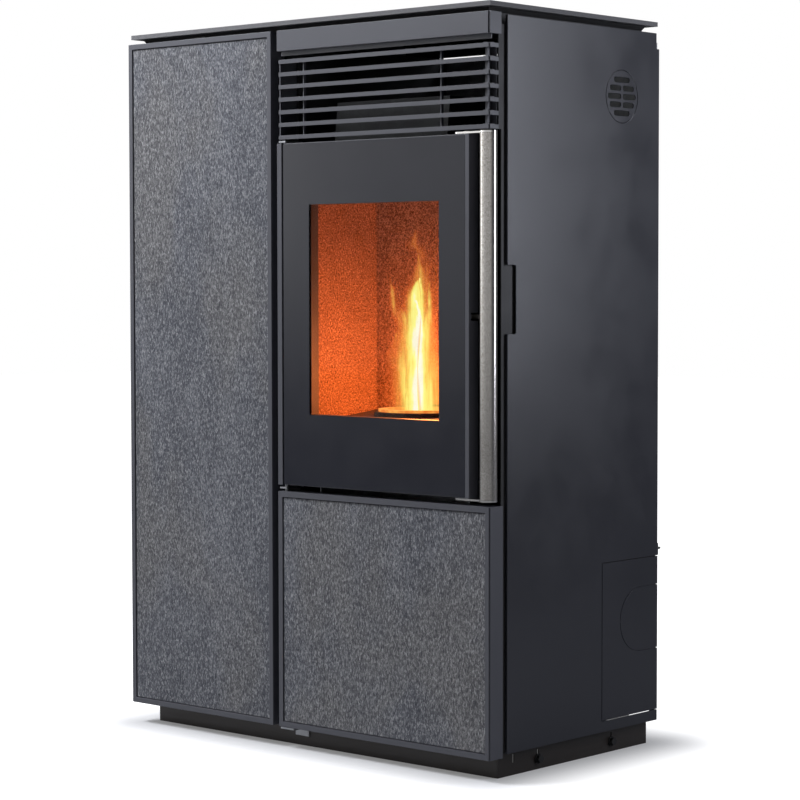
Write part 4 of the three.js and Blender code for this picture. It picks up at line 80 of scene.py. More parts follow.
class Shader:
    """Node tree of a material or the world, with short calls for the nodes that they share."""

    def __init__(self, owner, output, coordinates):
        self.owner = owner
        owner.use_nodes = True
        self.tree = owner.node_tree
        self.tree.nodes.clear()
        self.output = self.tree.nodes.new(output)
        self.place = self.tree.nodes.new("ShaderNodeTexCoord").outputs[coordinates]

    def node(self, kind, inputs=(), **settings):
        """A node with its settings, and its inputs by name or number: each a value or an output to link."""
        made = self.tree.nodes.new(kind)
        for key, value in settings.items():
            setattr(made, key, value)
        for key, value in dict(inputs).items():
            if isinstance(value, bpy.types.NodeSocket):
                self.tree.links.new(value, made.inputs[key])
            else:
                made.inputs[key].default_value = value
        return made

    def show(self, shader):
        """Puts a shader on the output."""
        self.tree.links.new(shader, self.output.inputs[0])
        return self.owner

    def math(self, operation, a, b=0.0):
        return self.node("ShaderNodeMath", {0: a, 1: b}, operation=operation).outputs[0]

    def vector(self, operation, a, b=(0.0, 0.0, 0.0)):
        """Vector maths; it gives a number where the operation measures a length."""
        made = self.node("ShaderNodeVectorMath", {0: a, 1: b}, operation=operation)
        return made.outputs["Value" if operation in ("LENGTH", "DISTANCE") else "Vector"]

    def scaled(self, vector, factor):
        """A vector times a number."""
        return self.node("ShaderNodeVectorMath", {0: vector, "Scale": factor}, operation="SCALE").outputs[0]

    def axes(self, vector):
        """The x, y and z of a vector."""
        return self.node("ShaderNodeSeparateXYZ", {0: vector}).outputs

    def level(self, value, low, high, to_low=0.0, to_high=1.0, smooth=False):
        """value taken from low..high to to_low..to_high and held there."""
        kind = "SMOOTHSTEP" if smooth else "LINEAR"
        made = self.node("ShaderNodeMapRange", {0: value, 1: low, 2: high, 3: to_low, 4: to_high},
                         interpolation_type=kind)
        return made.outputs[0]

    def span(self, noise, to_low=0.0, to_high=1.0):
        """The middle of a noise's range taken to to_low..to_high."""
        return self.level(noise, *NOISE_MIDDLE, to_low, to_high)


class Finish(Shader):
    """One procedural material, with short calls for its textures and colours."""

    def __init__(self, name):
        super().__init__(bpy.data.materials.new(name), "ShaderNodeOutputMaterial", "Object")

    def stretched(self, scale):
        """Object coordinates times a scale, one number or one per axis, in cells per metre."""
        across = scale if isinstance(scale, tuple) else (scale, scale, scale)
        return self.vector("MULTIPLY", self.place, across)

    def texture(self, where, detail=3.0, roughness=0.55, distortion=0.0):
        """Noise node at the given coordinates."""
        return self.node("ShaderNodeTexNoise", {
            "Vector": where, "Scale": 1.0, "Detail": detail,
            "Roughness": roughness, "Distortion": distortion})

    def noise(self, scale, **settings):
        """Noise around 0.5, with a scale in cells per metre."""
        return self.texture(self.stretched(scale), **settings).outputs["Fac"]

    def cells(self, scale):
        """Voronoi cells, each with its own random colour."""
        made = self.node("ShaderNodeTexVoronoi", {"Vector": self.stretched(scale), "Scale": 1.0})
        return made.outputs["Color"]

    def mix(self, factor, a, b, mode="MIX"):
        """Two colours mixed by a factor."""
        a, b = ((*colour, 1.0) if isinstance(colour, tuple) else colour for colour in (a, b))
        made = self.node("ShaderNodeMix", {0: factor, 6: a, 7: b}, data_type="RGBA", blend_type=mode)
        return made.outputs[2]

    def ramp(self, value, stops):
        """A colour ramp from (place, colour) stops."""
        made = self.node("ShaderNodeValToRGB", {0: value})
        elements = made.color_ramp.elements
        while len(elements) < len(stops):
            elements.new(0.5)
        for element, (where, colour) in zip(elements, stops):
            element.position = where
            element.color = (*colour, 1.0)
        return made.outputs[0]

    def bump(self, height, distance):
        return self.node("ShaderNodeBump", {"Height": height, "Distance": distance}).outputs[0]

    def shade(self, inputs):
        """A principled shader on the output."""
        return self.show(self.node("ShaderNodeBsdfPrincipled", inputs).outputs[0])


def tone(colour, factor):
    return tuple(channel * factor for channel in colour)


def powder_coat(name, colour, roughness):
    """Satin powder coat: fine orange peel, faint clouds and a few dull patches."""
    f = Finish(name)
    clouds = f.noise(3.5, detail=3)
    peel = f.noise(2200.0, detail=2)
    dust = f.noise(700.0, detail=4, roughness=0.7)
    base = f.mix(clouds, tone(colour, 0.93), tone(colour, 1.07))
    speckled = f.mix(f.level(dust, 0.62, 0.8, 0, 0.3), base, tone(colour, 1.35))
    dull = f.level(f.noise(11.0, detail=5), 0.35, 0.7, roughness - 0.04, roughness + 0.06)
    return f.shade({
        "Base Color": speckled,
        "Roughness": dull,
        "Normal": f.bump(peel, 0.00006),
    })


def stoneware(name):
    """Matt tile: upright clouds of cool and warm grey, short pale and dark fibres, and fissures."""
    f = Finish(name)
    drift = f.texture(f.stretched(5.0), detail=4, roughness=0.5).outputs["Color"]
    warped = f.vector("ADD", f.stretched((12.0, 12.0, 3.0)), drift)
    clouds = f.texture(warped, detail=6, roughness=0.68).outputs["Fac"]
    warmth = f.noise((4.6, 4.6, 2.8), detail=3, distortion=0.5)
    fibres = f.noise((560.0, 560.0, 220.0), detail=3, roughness=0.66, distortion=0.5)
    tufts = f.noise((90.0, 90.0, 26.0), detail=4, roughness=0.6)
    cool = f.mix(f.level(clouds, 0.34, 0.66, smooth=True), (0.099, 0.103, 0.117), (0.152, 0.157, 0.173))
    base = f.mix(f.level(warmth, 0.46, 0.66, 0.0, 0.8, smooth=True), cool, (0.150, 0.146, 0.143))
    tuft = f.ramp(tufts, [(0.32, tone(WHITE, 0.82)), (0.68, WHITE)])
    tufted = f.mix(1.0, base, tuft, "MULTIPLY")
    dark = f.mix(f.level(fibres, 0.50, 0.34, 0.0, 0.90), tufted, (0.030, 0.032, 0.040))
    pale = f.mix(f.level(fibres, 0.52, 0.68, 0.0, 0.90), dark, (0.370, 0.370, 0.372))
    ridge = f.math("ABSOLUTE", f.math("SUBTRACT", f.noise((34.0, 34.0, 5.0), detail=5, roughness=0.6), 0.5))
    shown = f.level(f.noise((13.0, 13.0, 7.0), detail=2), 0.55, 0.64, smooth=True)
    fissure = f.math("MULTIPLY", f.level(ridge, 0.010, 0.0), shown)
    cracked = f.mix(f.math("MULTIPLY", fissure, 0.75), pale, (0.035, 0.037, 0.042))
    height = f.math("SUBTRACT", fibres, f.math("MULTIPLY", fissure, 0.6))
    return f.shade({
        "Base Color": cracked,
        "Roughness": f.span(clouds, 0.66, 0.82),
        "Specular IOR Level": 0.25,
        "Normal": f.bump(height, 0.0005),
    })


def granular_stone(name):
    """Top plate: matt grey with a coarse sandy grain."""
    f = Finish(name)
    grain = f.noise(900.0, detail=3, roughness=0.75)
    pebbles = f.cells(520.0)
    base = f.mix(f.span(grain), (0.060, 0.060, 0.064), (0.200, 0.198, 0.200))
    mottled = f.mix(f.level(pebbles, 0.2, 0.8, 0.0, 0.5), base, (0.115, 0.114, 0.118))
    return f.shade({
        "Base Color": mottled,
        "Roughness": f.span(grain, 0.6, 0.85),
        "Normal": f.bump(grain, 0.0005),
    })


def door_glass(name):
    """Fire door pane: printed dark outside the window, clear inside it."""
    f = Finish(name)
    x, _, z = f.axes(f.place)
    inside = None
    for value, (low, high) in ((x, WINDOW_X), (z, WINDOW_Z)):
        for test, edge in (("GREATER_THAN", low), ("LESS_THAN", high)):
            passed = f.math(test, value, edge)
            inside = f.math("MULTIPLY", inside, passed) if inside else passed
    haze = f.noise(14.0, detail=4)
    printed = f.node("ShaderNodeBsdfPrincipled", {
        "Base Color": f.mix(haze, (0.0140, 0.0150, 0.0215), (0.0160, 0.0170, 0.0240)),
        "Roughness": f.span(haze, 0.16, 0.22),
    }).outputs[0]
    soot = f.mix(f.level(f.noise(30.0, detail=5), 0.4, 0.8), (0.98, 0.97, 0.96), (0.93, 0.90, 0.87))
    clear = f.node("ShaderNodeBsdfTransparent", {"Color": soot}).outputs[0]
    shine = f.node("ShaderNodeBsdfGlossy", {"Roughness": 0.05}).outputs[0]
    gloss = f.node("ShaderNodeFresnel", {"IOR": 1.12}).outputs[0]
    pane = f.node("ShaderNodeMixShader", {0: gloss, 1: clear, 2: shine}).outputs[0]
    whole = f.node("ShaderNodeMixShader", {0: inside, 1: printed, 2: pane}).outputs[0]
    return f.show(whole)


def panel_glass(name):
    """Black glass of the control display."""
    f = Finish(name)
    haze = f.noise(40.0, detail=4)
    return f.shade({
        "Base Color": f.mix(haze, (0.004, 0.004, 0.005), (0.008, 0.008, 0.009)),
        "Roughness": f.span(haze, 0.05, 0.12),
    })


def brushed(name, colour, roughness=0.28, along=(900.0, 900.0, 12.0), wear=0.12):
    """Brushed metal with lines along one axis and slight smudges."""
    f = Finish(name)
    lines = f.noise(along, detail=4, roughness=0.7)
    smudge = f.noise(9.0, detail=4)
    base = f.mix(lines, tone(colour, 1 - wear), tone(colour, 1 + wear))
    return f.shade({
        "Base Color": base,
        "Roughness": f.span(f.mix(0.5, lines, smudge), roughness - 0.07, roughness + 0.09),
        "Metallic": 1.0,
        "Normal": f.bump(lines, 0.00004),
    })


def zinc(name, shade=1.0):
    """Galvanised sheet: spangle, dull film and light scratches; shade scales all its colours down, which
    paints shade into a sheet that stands in shade.
    """
    f = Finish(name)
    spangle = f.cells(70.0)
    film = f.noise(12.0, detail=5, roughness=0.65)
    scratches = f.noise((14.0, 420.0, 420.0), detail=3)
    pale, clear = tone((0.30, 0.31, 0.33), shade), tone((0.46, 0.47, 0.49), shade)
    base = f.mix(f.level(spangle, 0.0, 1.0), pale, clear)
    dulled = f.mix(f.level(film, 0.4, 0.75, 0.0, 0.6), base, tone((0.24, 0.245, 0.25), shade))
    return f.shade({
        "Base Color": dulled,
        "Metallic": 0.85,
        "Roughness": f.level(spangle, 0.0, 1.0, 0.36, 0.56),
        "Normal": f.bump(scratches, 0.00003),
    })


def handle_steel(name):
    """Brushed stainless tube: short cross strokes, speckled and a little warm."""
    f = Finish(name)
    strokes = f.noise((500.0, 500.0, 900.0), detail=3, roughness=0.7)
    speckle = f.noise(260.0, detail=3)
    smudge = f.noise(10.0, detail=4)
    base = f.mix(f.span(strokes), (0.44, 0.415, 0.385), (0.74, 0.715, 0.68))
    return f.shade({
        "Base Color": f.mix(f.level(speckle, 0.5, 0.7, 0.0, 0.35), base, (0.33, 0.30, 0.27)),
        "Metallic": 1.0,
        "Roughness": f.span(smudge, 0.17, 0.23),
        "Normal": f.bump(strokes, 0.00002),
    })


def cast_iron(name):
    """Rough casting with a little brown scale."""
    f = Finish(name)
    skin = f.noise(420.0, detail=5, roughness=0.7)
    scale = f.noise(40.0, detail=5, roughness=0.65)
    base = f.mix(f.level(scale, 0.45, 0.75), (0.030, 0.026, 0.024), (0.085, 0.055, 0.040))
    return f.shade({
        "Base Color": base,
        "Metallic": 0.25,
        "Roughness": f.span(skin, 0.66, 0.88),
        "Normal": f.bump(skin, 0.0004),
    })


def hot_casting(name, cold, hot):
    """Rough casting that starts to glow between two heights."""
    f = Finish(name)
    skin = f.noise(420.0, detail=5, roughness=0.7)
    patches = f.noise((70.0, 70.0, 60.0), detail=4)
    height = f.axes(f.place)[2]
    heat = f.math("MULTIPLY", f.level(height, cold, hot), f.level(patches, 0.25, 0.65, 0.45, 1.0))
    return f.shade({
        "Base Color": f.mix(patches, (0.045, 0.030, 0.024), (0.110, 0.066, 0.045)),
        "Metallic": 0.2,
        "Roughness": f.span(skin, 0.66, 0.88),
        "Emission Color": f.ramp(heat, [
            (0.0, BLACK), (0.35, (0.35, 0.040, 0.006)),
            (0.7, (0.85, 0.22, 0.03)), (1.0, (1.0, 0.46, 0.09))]),
        "Emission Strength": 1.0,
        "Normal": f.bump(skin, 0.0004),
    })


def heat_black(name):
    """Matt heat-resistant black on sheet steel."""
    f = Finish(name)
    grain = f.noise(1500.0, detail=2)
    film = f.noise(9.0, detail=4)
    return f.shade({
        "Base Color": f.mix(film, (0.0055, 0.0055, 0.0060), (0.0105, 0.0100, 0.0100)),
        "Roughness": f.span(film, 0.5, 0.66),
        "Normal": f.bump(grain, 0.00005),
    })


def plinth_paint(name):
    """Thin black paint with a brown cast, a little streaky."""
    f = Finish(name)
    streaks = f.noise((6.0, 6.0, 160.0), detail=4)
    grain = f.noise(1500.0, detail=2)
    return f.shade({
        "Base Color": f.mix(streaks, (0.019, 0.0150, 0.0125), (0.031, 0.0235, 0.0190)),
        "Roughness": f.span(streaks, 0.34, 0.5),
        "Normal": f.bump(grain, 0.00005),
    })


def vermiculite(name):
    """Pressed vermiculite board: coarse golden-brown flakes with dark pits between them."""
    f = Finish(name)
    flakes = f.noise(430.0, detail=2, roughness=0.6)
    tint = f.cells(300.0)
    soot = f.noise(8.0, detail=4)
    base = f.ramp(flakes, [
        (0.32, (0.050, 0.022, 0.015)), (0.44, (0.230, 0.130, 0.078)),
        (0.56, (0.430, 0.262, 0.150)), (0.68, (0.700, 0.470, 0.285))])
    varied = f.mix(f.level(tint, 0.2, 0.8, 0.0, 0.30), base, (0.260, 0.145, 0.085))
    sooty = f.mix(f.level(soot, 0.40, 0.75, 0.0, 0.30), varied, (0.120, 0.085, 0.060))
    return f.shade({
        "Base Color": sooty,
        "Roughness": f.span(flakes, 0.85, 1.0),
        "Specular IOR Level": 0.2,
        "Normal": f.bump(flakes, 0.0012),
    })


def glass_rope(name):
    """Woven glass rope: crossing yarns."""
    f = Finish(name)
    yarns = f.node("ShaderNodeTexWave", {
        "Vector": f.place, "Scale": 95.0, "Distortion": 2.0, "Detail": 2.0},
        bands_direction="DIAGONAL").outputs["Fac"]
    fuzz = f.noise(900.0, detail=3)
    return f.shade({
        "Base Color": f.mix(yarns, (0.030, 0.030, 0.030), (0.095, 0.092, 0.088)),
        "Roughness": f.span(fuzz, 0.85, 1.0),
        "Normal": f.bump(f.math("ADD", yarns, fuzz), 0.0006),
    })


def moulded(name, colour):
    """Moulded black plastic with a fine spark-eroded texture."""
    f = Finish(name)
    texture = f.noise(1700.0, detail=2)
    wear = f.noise(20.0, detail=4)
    return f.shade({
        "Base Color": f.mix(wear, colour, tone(colour, 1.7)),
        "Roughness": f.span(wear, 0.42, 0.6),
        "Normal": f.bump(texture, 0.00008),
    })


def fired_ceramic(name):
    """Pale fired ceramic with heat stains."""
    f = Finish(name)
    grain = f.noise(800.0, detail=3)
    stain = f.noise(30.0, detail=4)
    return f.shade({
        "Base Color": f.mix(f.level(stain, 0.4, 0.8), (0.72, 0.69, 0.62), (0.42, 0.36, 0.30)),
        "Roughness": f.span(grain, 0.55, 0.75),
        "Normal": f.bump(grain, 0.0001),
    })


def wood_pellets(name):
    """Pressed sawdust: pale brown with darker fibres."""
    f = Finish(name)
    fibres = f.noise((260.0, 260.0, 90.0), detail=5, roughness=0.7)
    return f.shade({
        "Base Color": f.ramp(fibres, [
            (0.25, (0.20, 0.115, 0.055)), (0.5, (0.42, 0.27, 0.14)), (0.8, (0.60, 0.43, 0.25))]),
        "Roughness": f.span(fibres, 0.6, 0.85),
        "Normal": f.bump(fibres, 0.0004),
    })


def wood_ash(name):
    """Loose pale grey ash with darker crumbs."""
    f = Finish(name)
    dust = f.noise(260.0, detail=6, roughness=0.7)
    return f.shade({
        "Base Color": f.ramp(dust, [
            (0.3, (0.11, 0.105, 0.10)), (0.6, (0.34, 0.33, 0.32)), (0.85, (0.5, 0.49, 0.48))]),
        "Roughness": f.span(dust, 0.85, 1.0),
        "Normal": f.bump(dust, 0.002),
    })


def embers(name):
    """Burning pellets: grey ash skin over an orange glow."""
    f = Finish(name)
    glow = f.noise(120.0, detail=4, roughness=0.7)
    ash = f.noise(500.0, detail=3)
    return f.shade({
        "Base Color": f.mix(ash, (0.03, 0.02, 0.015), (0.20, 0.17, 0.15)),
        "Roughness": f.span(ash, 0.8, 1.0),
        "Emission Color": f.ramp(glow, [
            (0.32, (0.02, 0.0, 0.0)), (0.46, (0.8, 0.10, 0.01)),
            (0.6, (1.0, 0.34, 0.05)), (0.75, (1.0, 0.75, 0.25))]),
        "Emission Strength": 5.0,
        "Normal": f.bump(ash, 0.0006),
    })


# The flame stands over the pot, in a plane that faces the camera.
FLAME_TURN = math.radians(41.6)
FLAME_FOOT, FLAME_TIP = 0.490, 0.798  # the tip clears the baffle plate with the pot lifted
FLAME_FLUTTER = 0.013  # how far a tongue is blown aside where it is free
FLAME_FREE = 0.75  # height from which the flutter is full
# Each tongue has a heat, which is how white its middle gets, and a chain of (across, height, radius):
# metres from the pot's axis along the plane, and above the floor.
TONGUES = [
    (1.70, [(-0.003, 0.470, 0.026), (-0.003, 0.560, 0.025), (-0.002, 0.640, 0.017), (-0.003, 0.690, 0.003)]),
    (0.95, [(-0.002, 0.470, 0.054), (-0.001, 0.560, 0.050), (-0.004, 0.640, 0.037), (-0.003, 0.700, 0.018),
            (0.000, 0.722, 0.003)]),
    (0.46, [(0.002, 0.640, 0.034), (0.003, 0.700, 0.027), (0.002, 0.758, 0.004)]),
    (0.62, [(-0.018, 0.610, 0.018), (-0.023, 0.665, 0.011), (-0.029, 0.692, 0.004)]),
    (0.60, [(0.012, 0.610, 0.018), (0.016, 0.690, 0.010), (0.012, 0.738, 0.003)]),
    (0.40, [(-0.026, 0.650, 0.013), (-0.037, 0.690, 0.009), (-0.041, 0.728, 0.002)]),
    (0.36, [(-0.028, 0.560, 0.022), (-0.040, 0.610, 0.012), (-0.036, 0.640, 0.004)]),
    (0.22, [(0.006, 0.700, 0.016), (0.012, 0.740, 0.013), (0.004, 0.765, 0.013), (-0.010, 0.775, 0.013),
            (-0.004, 0.796, 0.004)]),
]


def flame_point(across, height):
    """A point of the flame's plane in the object's frame."""
    return Vector((POT.x + across * math.cos(FLAME_TURN), POT.y + across * math.sin(FLAME_TURN), height))


def flame(name):
    """Flame as one field in space: chains of tapering tongues that flutter, hottest inside."""
    f = Finish(name)
    drift = f.texture(f.stretched((42.0, 42.0, 15.0)), detail=4, roughness=0.6).outputs["Color"]
    centred = f.vector("SUBTRACT", drift, (0.5, 0.5, 0.5))
    rise = f.level(f.axes(f.place)[2], FLAME_FOOT, FLAME_FREE, 0.25, 1.0)
    shift = f.scaled(centred, f.math("MULTIPLY", rise, 2 * FLAME_FLUTTER))
    moved = f.vector("ADD", f.place, shift)
    height = f.axes(moved)[2]
    heat = None
    for warmth, chain in TONGUES:
        for (a, low, wide), (b, high, narrow) in zip(chain, chain[1:]):
            foot, tip = flame_point(a, low), flame_point(b, high)
            line = f.vector("ADD", f.scaled(tip - foot, f.level(height, low, high)), foot)
            away = f.vector("DISTANCE", moved, line)
            width = f.level(height, low, high, wide, narrow)
            inner = f.math("SUBTRACT", 1.0, f.math("DIVIDE", away, width))
            mine = f.math("MULTIPLY", f.math("MAXIMUM", inner, 0.0), warmth)
            heat = f.math("MAXIMUM", heat, mine) if heat else mine
    streaks = f.noise((130.0, 130.0, 13.0), detail=4, distortion=0.5)
    streaky = f.math("MULTIPLY", heat, f.level(streaks, 0.28, 0.72, 0.70, 1.30))
    colour = f.ramp(f.math("MULTIPLY", streaky, 0.8), [
        (0.00, (0.80, 0.13, 0.02)), (0.14, (0.98, 0.24, 0.045)), (0.30, (1.00, 0.45, 0.08)),
        (0.50, (1.00, 0.82, 0.17)), (0.75, (1.00, 1.00, 0.30)), (1.00, (1.00, 1.00, 0.80))])
    return f.shade({
        "Base Color": (*BLACK, 1.0),
        "Roughness": 1.0,
        "Specular IOR Level": 0.0,
        "Emission Color": colour,
        "Emission Strength": 1.08,
        "Alpha": f.level(streaky, 0.0, 0.74, 0.0, 0.98),
    })


FINISHES = {
    "anthracite": powder_coat("anthracite powder coat", (0.0225, 0.0232, 0.0300), roughness=0.33),
    "frame_grey": powder_coat("frame powder coat", (0.063, 0.0645, 0.0760), roughness=0.46),
    "plinth_black": plinth_paint("plinth paint"),
    "black_sheet": heat_black("black sheet"),
    "tile": stoneware("stoneware"),
    "top_stone": granular_stone("granular top"),
    "glass": door_glass("printed door glass"),
    "display": panel_glass("display glass"),
    "steel": brushed("brushed steel", (0.56, 0.53, 0.49)),
    "polished": brushed(
        "polished steel", (0.86, 0.85, 0.83), roughness=0.15, along=(60.0, 900.0, 900.0), wear=0.04),
    "cast_iron": cast_iron("cast iron"),
    "hot_iron": hot_casting("glowing casting", POT_COLD, POT_HOT),
    "galvanised": zinc("galvanised sheet"),
    # The exchanger hood stands in shade behind the louvers: its zinc is darkened to 0.12 of its colour as
    # painted shade.
    "hot_zinc": zinc("heat-darkened sheet", shade=0.12),
    "handle": handle_steel("handle steel"),
    "vermiculite": vermiculite("vermiculite board"),
    "rope": glass_rope("glass rope"),
    "plastic": moulded("moulded plastic", (0.012, 0.0125, 0.0135)),
    "ceramic": fired_ceramic("fired ceramic"),
}

NODE_FINISHES = {
    "anthracite": ["side_panel_right", "side_panel_left", "flue_cover"],
    "frame_grey": [
        "tall_panel_frame", "header_band", "louver_grille", "lower_door_frame", "fire_door_frame"],
    "plinth_black": ["plinth"],
    "black_sheet": [
        "flue_recess", "centre_divider", "corner_post", "top_neck", "firebox_shell", "base_plate"],
    "tile": ["tall_panel_tile", "lower_door_tile"],
    "top_stone": ["top_plate", "hopper_lid"],
    "glass": ["fire_door_glass"],
    "display": ["control_display"],
    "handle": ["handle_tube"],
    "steel": ["lid_hinge_rod", "latch_shaft", "auger_tube", "auger_screw", "smoke_fan_impeller"],
    "polished": ["handle_arm_lower", "handle_arm_upper"],
    "hot_iron": ["burn_pot"],
    "cast_iron": ["hearth_plate", "auger_gearmotor", "smoke_fan_motor"],
    "galvanised": [
        "back_panel", "hinge_bracket_lower", "hinge_bracket_middle", "hinge_bracket_upper",
        "latch_keeper", "drawer_housing", "ash_drawer", "hopper_bin", "hopper_grid",
        "pellet_chute", "smoke_fan_housing", "room_fan_housing", "air_intake_pipe"],
    # the hood behind the louvers takes the zinc with painted shade
    "hot_zinc": ["exchanger_hood"],
    "vermiculite": ["vermiculite_left", "vermiculite_right", "vermiculite_back", "baffle_plate"],
    "rope": ["door_gasket", "lid_gasket"],
    "plastic": ["room_fan_impeller", "power_inlet", "power_switch", "control_board", "room_probe"],
    "ceramic": ["igniter"],
}
WELD_DISTANCE = 0.00001
SOFT_EDGE = {  # radius of the rounded edges, in metres
    "anthracite": 0.0005, "frame_grey": 0.0006, "plinth_black": 0.0004, "tile": 0.0003,
    "top_stone": 0.0006, "vermiculite": 0.0006, "cast_iron": 0.0005,
}
SOFT_ANGLE = math.radians(35)  # edges sharper than this are rounded
ROUND_NODES = [  # round parts whose facets are shaded smooth
    "handle_tube", "handle_arm_lower", "handle_arm_upper", "latch_shaft", "lid_hinge_rod", "burn_pot",
    "igniter", "auger_tube", "auger_screw", "auger_gearmotor", "smoke_fan_housing", "smoke_fan_motor",
    "smoke_fan_impeller", "room_fan_housing", "room_fan_impeller", "air_intake_pipe", "room_probe",
]
SMOOTH_ANGLE = math.radians(32)


def smoothing():
    """Modifier tree that shades faces smooth, apart from edges sharper than SMOOTH_ANGLE."""
    tree = bpy.data.node_groups.new("smooth by angle", "GeometryNodeTree")
    for way in ("INPUT", "OUTPUT"):
        tree.interface.new_socket("Geometry", in_out=way, socket_type="NodeSocketGeometry")
    start, end = tree.nodes.new("NodeGroupInput"), tree.nodes.new("NodeGroupOutput")
    faces = tree.nodes.new("GeometryNodeSetShadeSmooth")
    edges = tree.nodes.new("GeometryNodeSetShadeSmooth")
    edges.domain = "EDGE"
    angle = tree.nodes.new("GeometryNodeInputMeshEdgeAngle")
    flat = tree.nodes.new("FunctionNodeCompare")
    flat.operation = "LESS_THAN"
    flat.inputs[1].default_value = SMOOTH_ANGLE
    tree.links.new(angle.outputs["Unsigned Angle"], flat.inputs[0])
    tree.links.new(start.outputs[0], faces.inputs["Geometry"])
    tree.links.new(faces.outputs[0], edges.inputs["Geometry"])
    tree.links.new(flat.outputs[0], edges.inputs["Shade Smooth"])
    tree.links.new(edges.outputs[0], end.inputs[0])
    return tree


SMOOTHING = smoothing()


def dress(node, finish):
    """Puts a finish on a solid and rounds its edges a little."""
    solid = frame["nodes"][node]
    solid.data.materials.clear()
    solid.data.materials.append(FINISHES[finish])
    weld = solid.modifiers.new("weld", "WELD")
    weld.merge_threshold = WELD_DISTANCE
    if finish in SOFT_EDGE:
        bevel = solid.modifiers.new("edges", "BEVEL")
        bevel.width = SOFT_EDGE[finish]
        bevel.segments = 2
        bevel.limit_method = "ANGLE"
        bevel.angle_limit = SOFT_ANGLE
        bevel.use_clamp_overlap = True
    if node in ROUND_NODES:
        solid.modifiers.new("smooth", "NODES").node_group = SMOOTHING


for finish, nodes in NODE_FINISHES.items():
    for node in nodes:
        dress(node, finish)

# ---------------------------------------------------------------- pieces that only the looks need


def piece(name, points, faces, material, body, slot_name=None):
    """A mesh in the object's own frame that rides on a body."""
    mesh = bpy.data.meshes.new(name)
    mesh.from_pydata(points, [], faces)
    mesh.validate()
    mesh.materials.append(material)
    made = bpy.data.objects.new(name, mesh)
    bpy.context.scene.collection.objects.link(made)
    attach(made, body)
    return made


def grid_faces(start, columns, rows):
    """Quads between the points of a grid, which run row by row from the point numbered start."""
    faces = []
    for row in range(rows):
        for column in range(columns):
            a = start + row * (columns + 1) + column
            faces.append((a, a + 1, a + columns + 2, a + columns + 1))
    return faces


def tube_faces(start, rings, sides):
    """Quads between rings of points, numbered from start, and a face on each end."""
    faces = []
    for ring in range(rings - 1):
        for i in range(sides):
            a, b = start + ring * sides + i, start + ring * sides + (i + 1) % sides
            faces.append((a, b, b + sides, a + sides))
    faces.append(tuple(start + i for i in reversed(range(sides))))
    faces.append(tuple(start + (rings - 1) * sides + i for i in range(sides)))
    return faces


FLAME_HALF_WIDTH = 0.060
FLAME_WAVE = 0.003  # how far a sheet of the flame bends out of its plane


def flame_sheets(columns, rows):
    """Two upright sheets, gently curved, that cross on the pot's axis; the first faces the camera."""
    points, faces = [], []
    for turn in (FLAME_TURN, FLAME_TURN + math.pi / 2):
        across = Vector((math.cos(turn), math.sin(turn), 0.0))
        out = Vector((-math.sin(turn), math.cos(turn), 0.0))
        faces += grid_faces(len(points), columns, rows)
        for row in range(rows + 1):
            height = FLAME_FOOT + (FLAME_TIP - FLAME_FOOT) * row / rows
            centre = Vector((POT.x, POT.y, height))
            for column in range(columns + 1):
                s = 2 * column / columns - 1
                wave = FLAME_WAVE * math.sin(3 * s + 9 * row / rows)
                points.append(centre + across * (FLAME_HALF_WIDTH * s) + out * wave)
    return points, faces


flame_material = flame("flame")
flame_material.cycles.emission_sampling = "NONE"
flame_object = piece("flame", *flame_sheets(columns=12, rows=24), flame_material, "burn_pot")
flame_object.visible_shadow = False

PELLET_RADIUS = 0.003
PELLET_SIDES = 7
PELLET_TILT = 0.45  # most that a pellet's direction rises or falls, for one across
# Rings of a pellet: place along its length, and share of its radius; the ends are slightly rounded.
PELLET_RINGS = [(-0.5, 0.72), (-0.44, 1.0), (0.44, 1.0), (0.5, 0.72)]


def add_pellet(points, faces, centre, direction, length):
    """Adds one pressed pellet to a mesh's points and faces."""
    direction = direction.normalized()
    side = direction.orthogonal().normalized()
    up = direction.cross(side)
    faces += tube_faces(len(points), len(PELLET_RINGS), PELLET_SIDES)
    for along, share in PELLET_RINGS:
        for i in range(PELLET_SIDES):
            angle = 2 * math.pi * i / PELLET_SIDES
            spoke = side * math.cos(angle) + up * math.sin(angle)
            points.append(centre + direction * (along * length) + spoke * (PELLET_RADIUS * share))


def pellets(name, count, draw_place, lengths, material, body, seed):
    """Loose pellets, each at a drawn place and in a drawn direction, nearly lying."""
    draw = random.Random(seed)
    points, faces = [], []
    for _ in range(count):
        turn = draw.uniform(0, 2 * math.pi)
        direction = Vector((math.cos(turn), math.sin(turn), draw.uniform(-PELLET_TILT, PELLET_TILT)))
        add_pellet(points, faces, Vector(draw_place(draw)), direction, draw.uniform(*lengths))
    return piece(name, points, faces, material, body)


FINE_SWELL = 0.5  # height of the short waves of a bed, beside the long ones


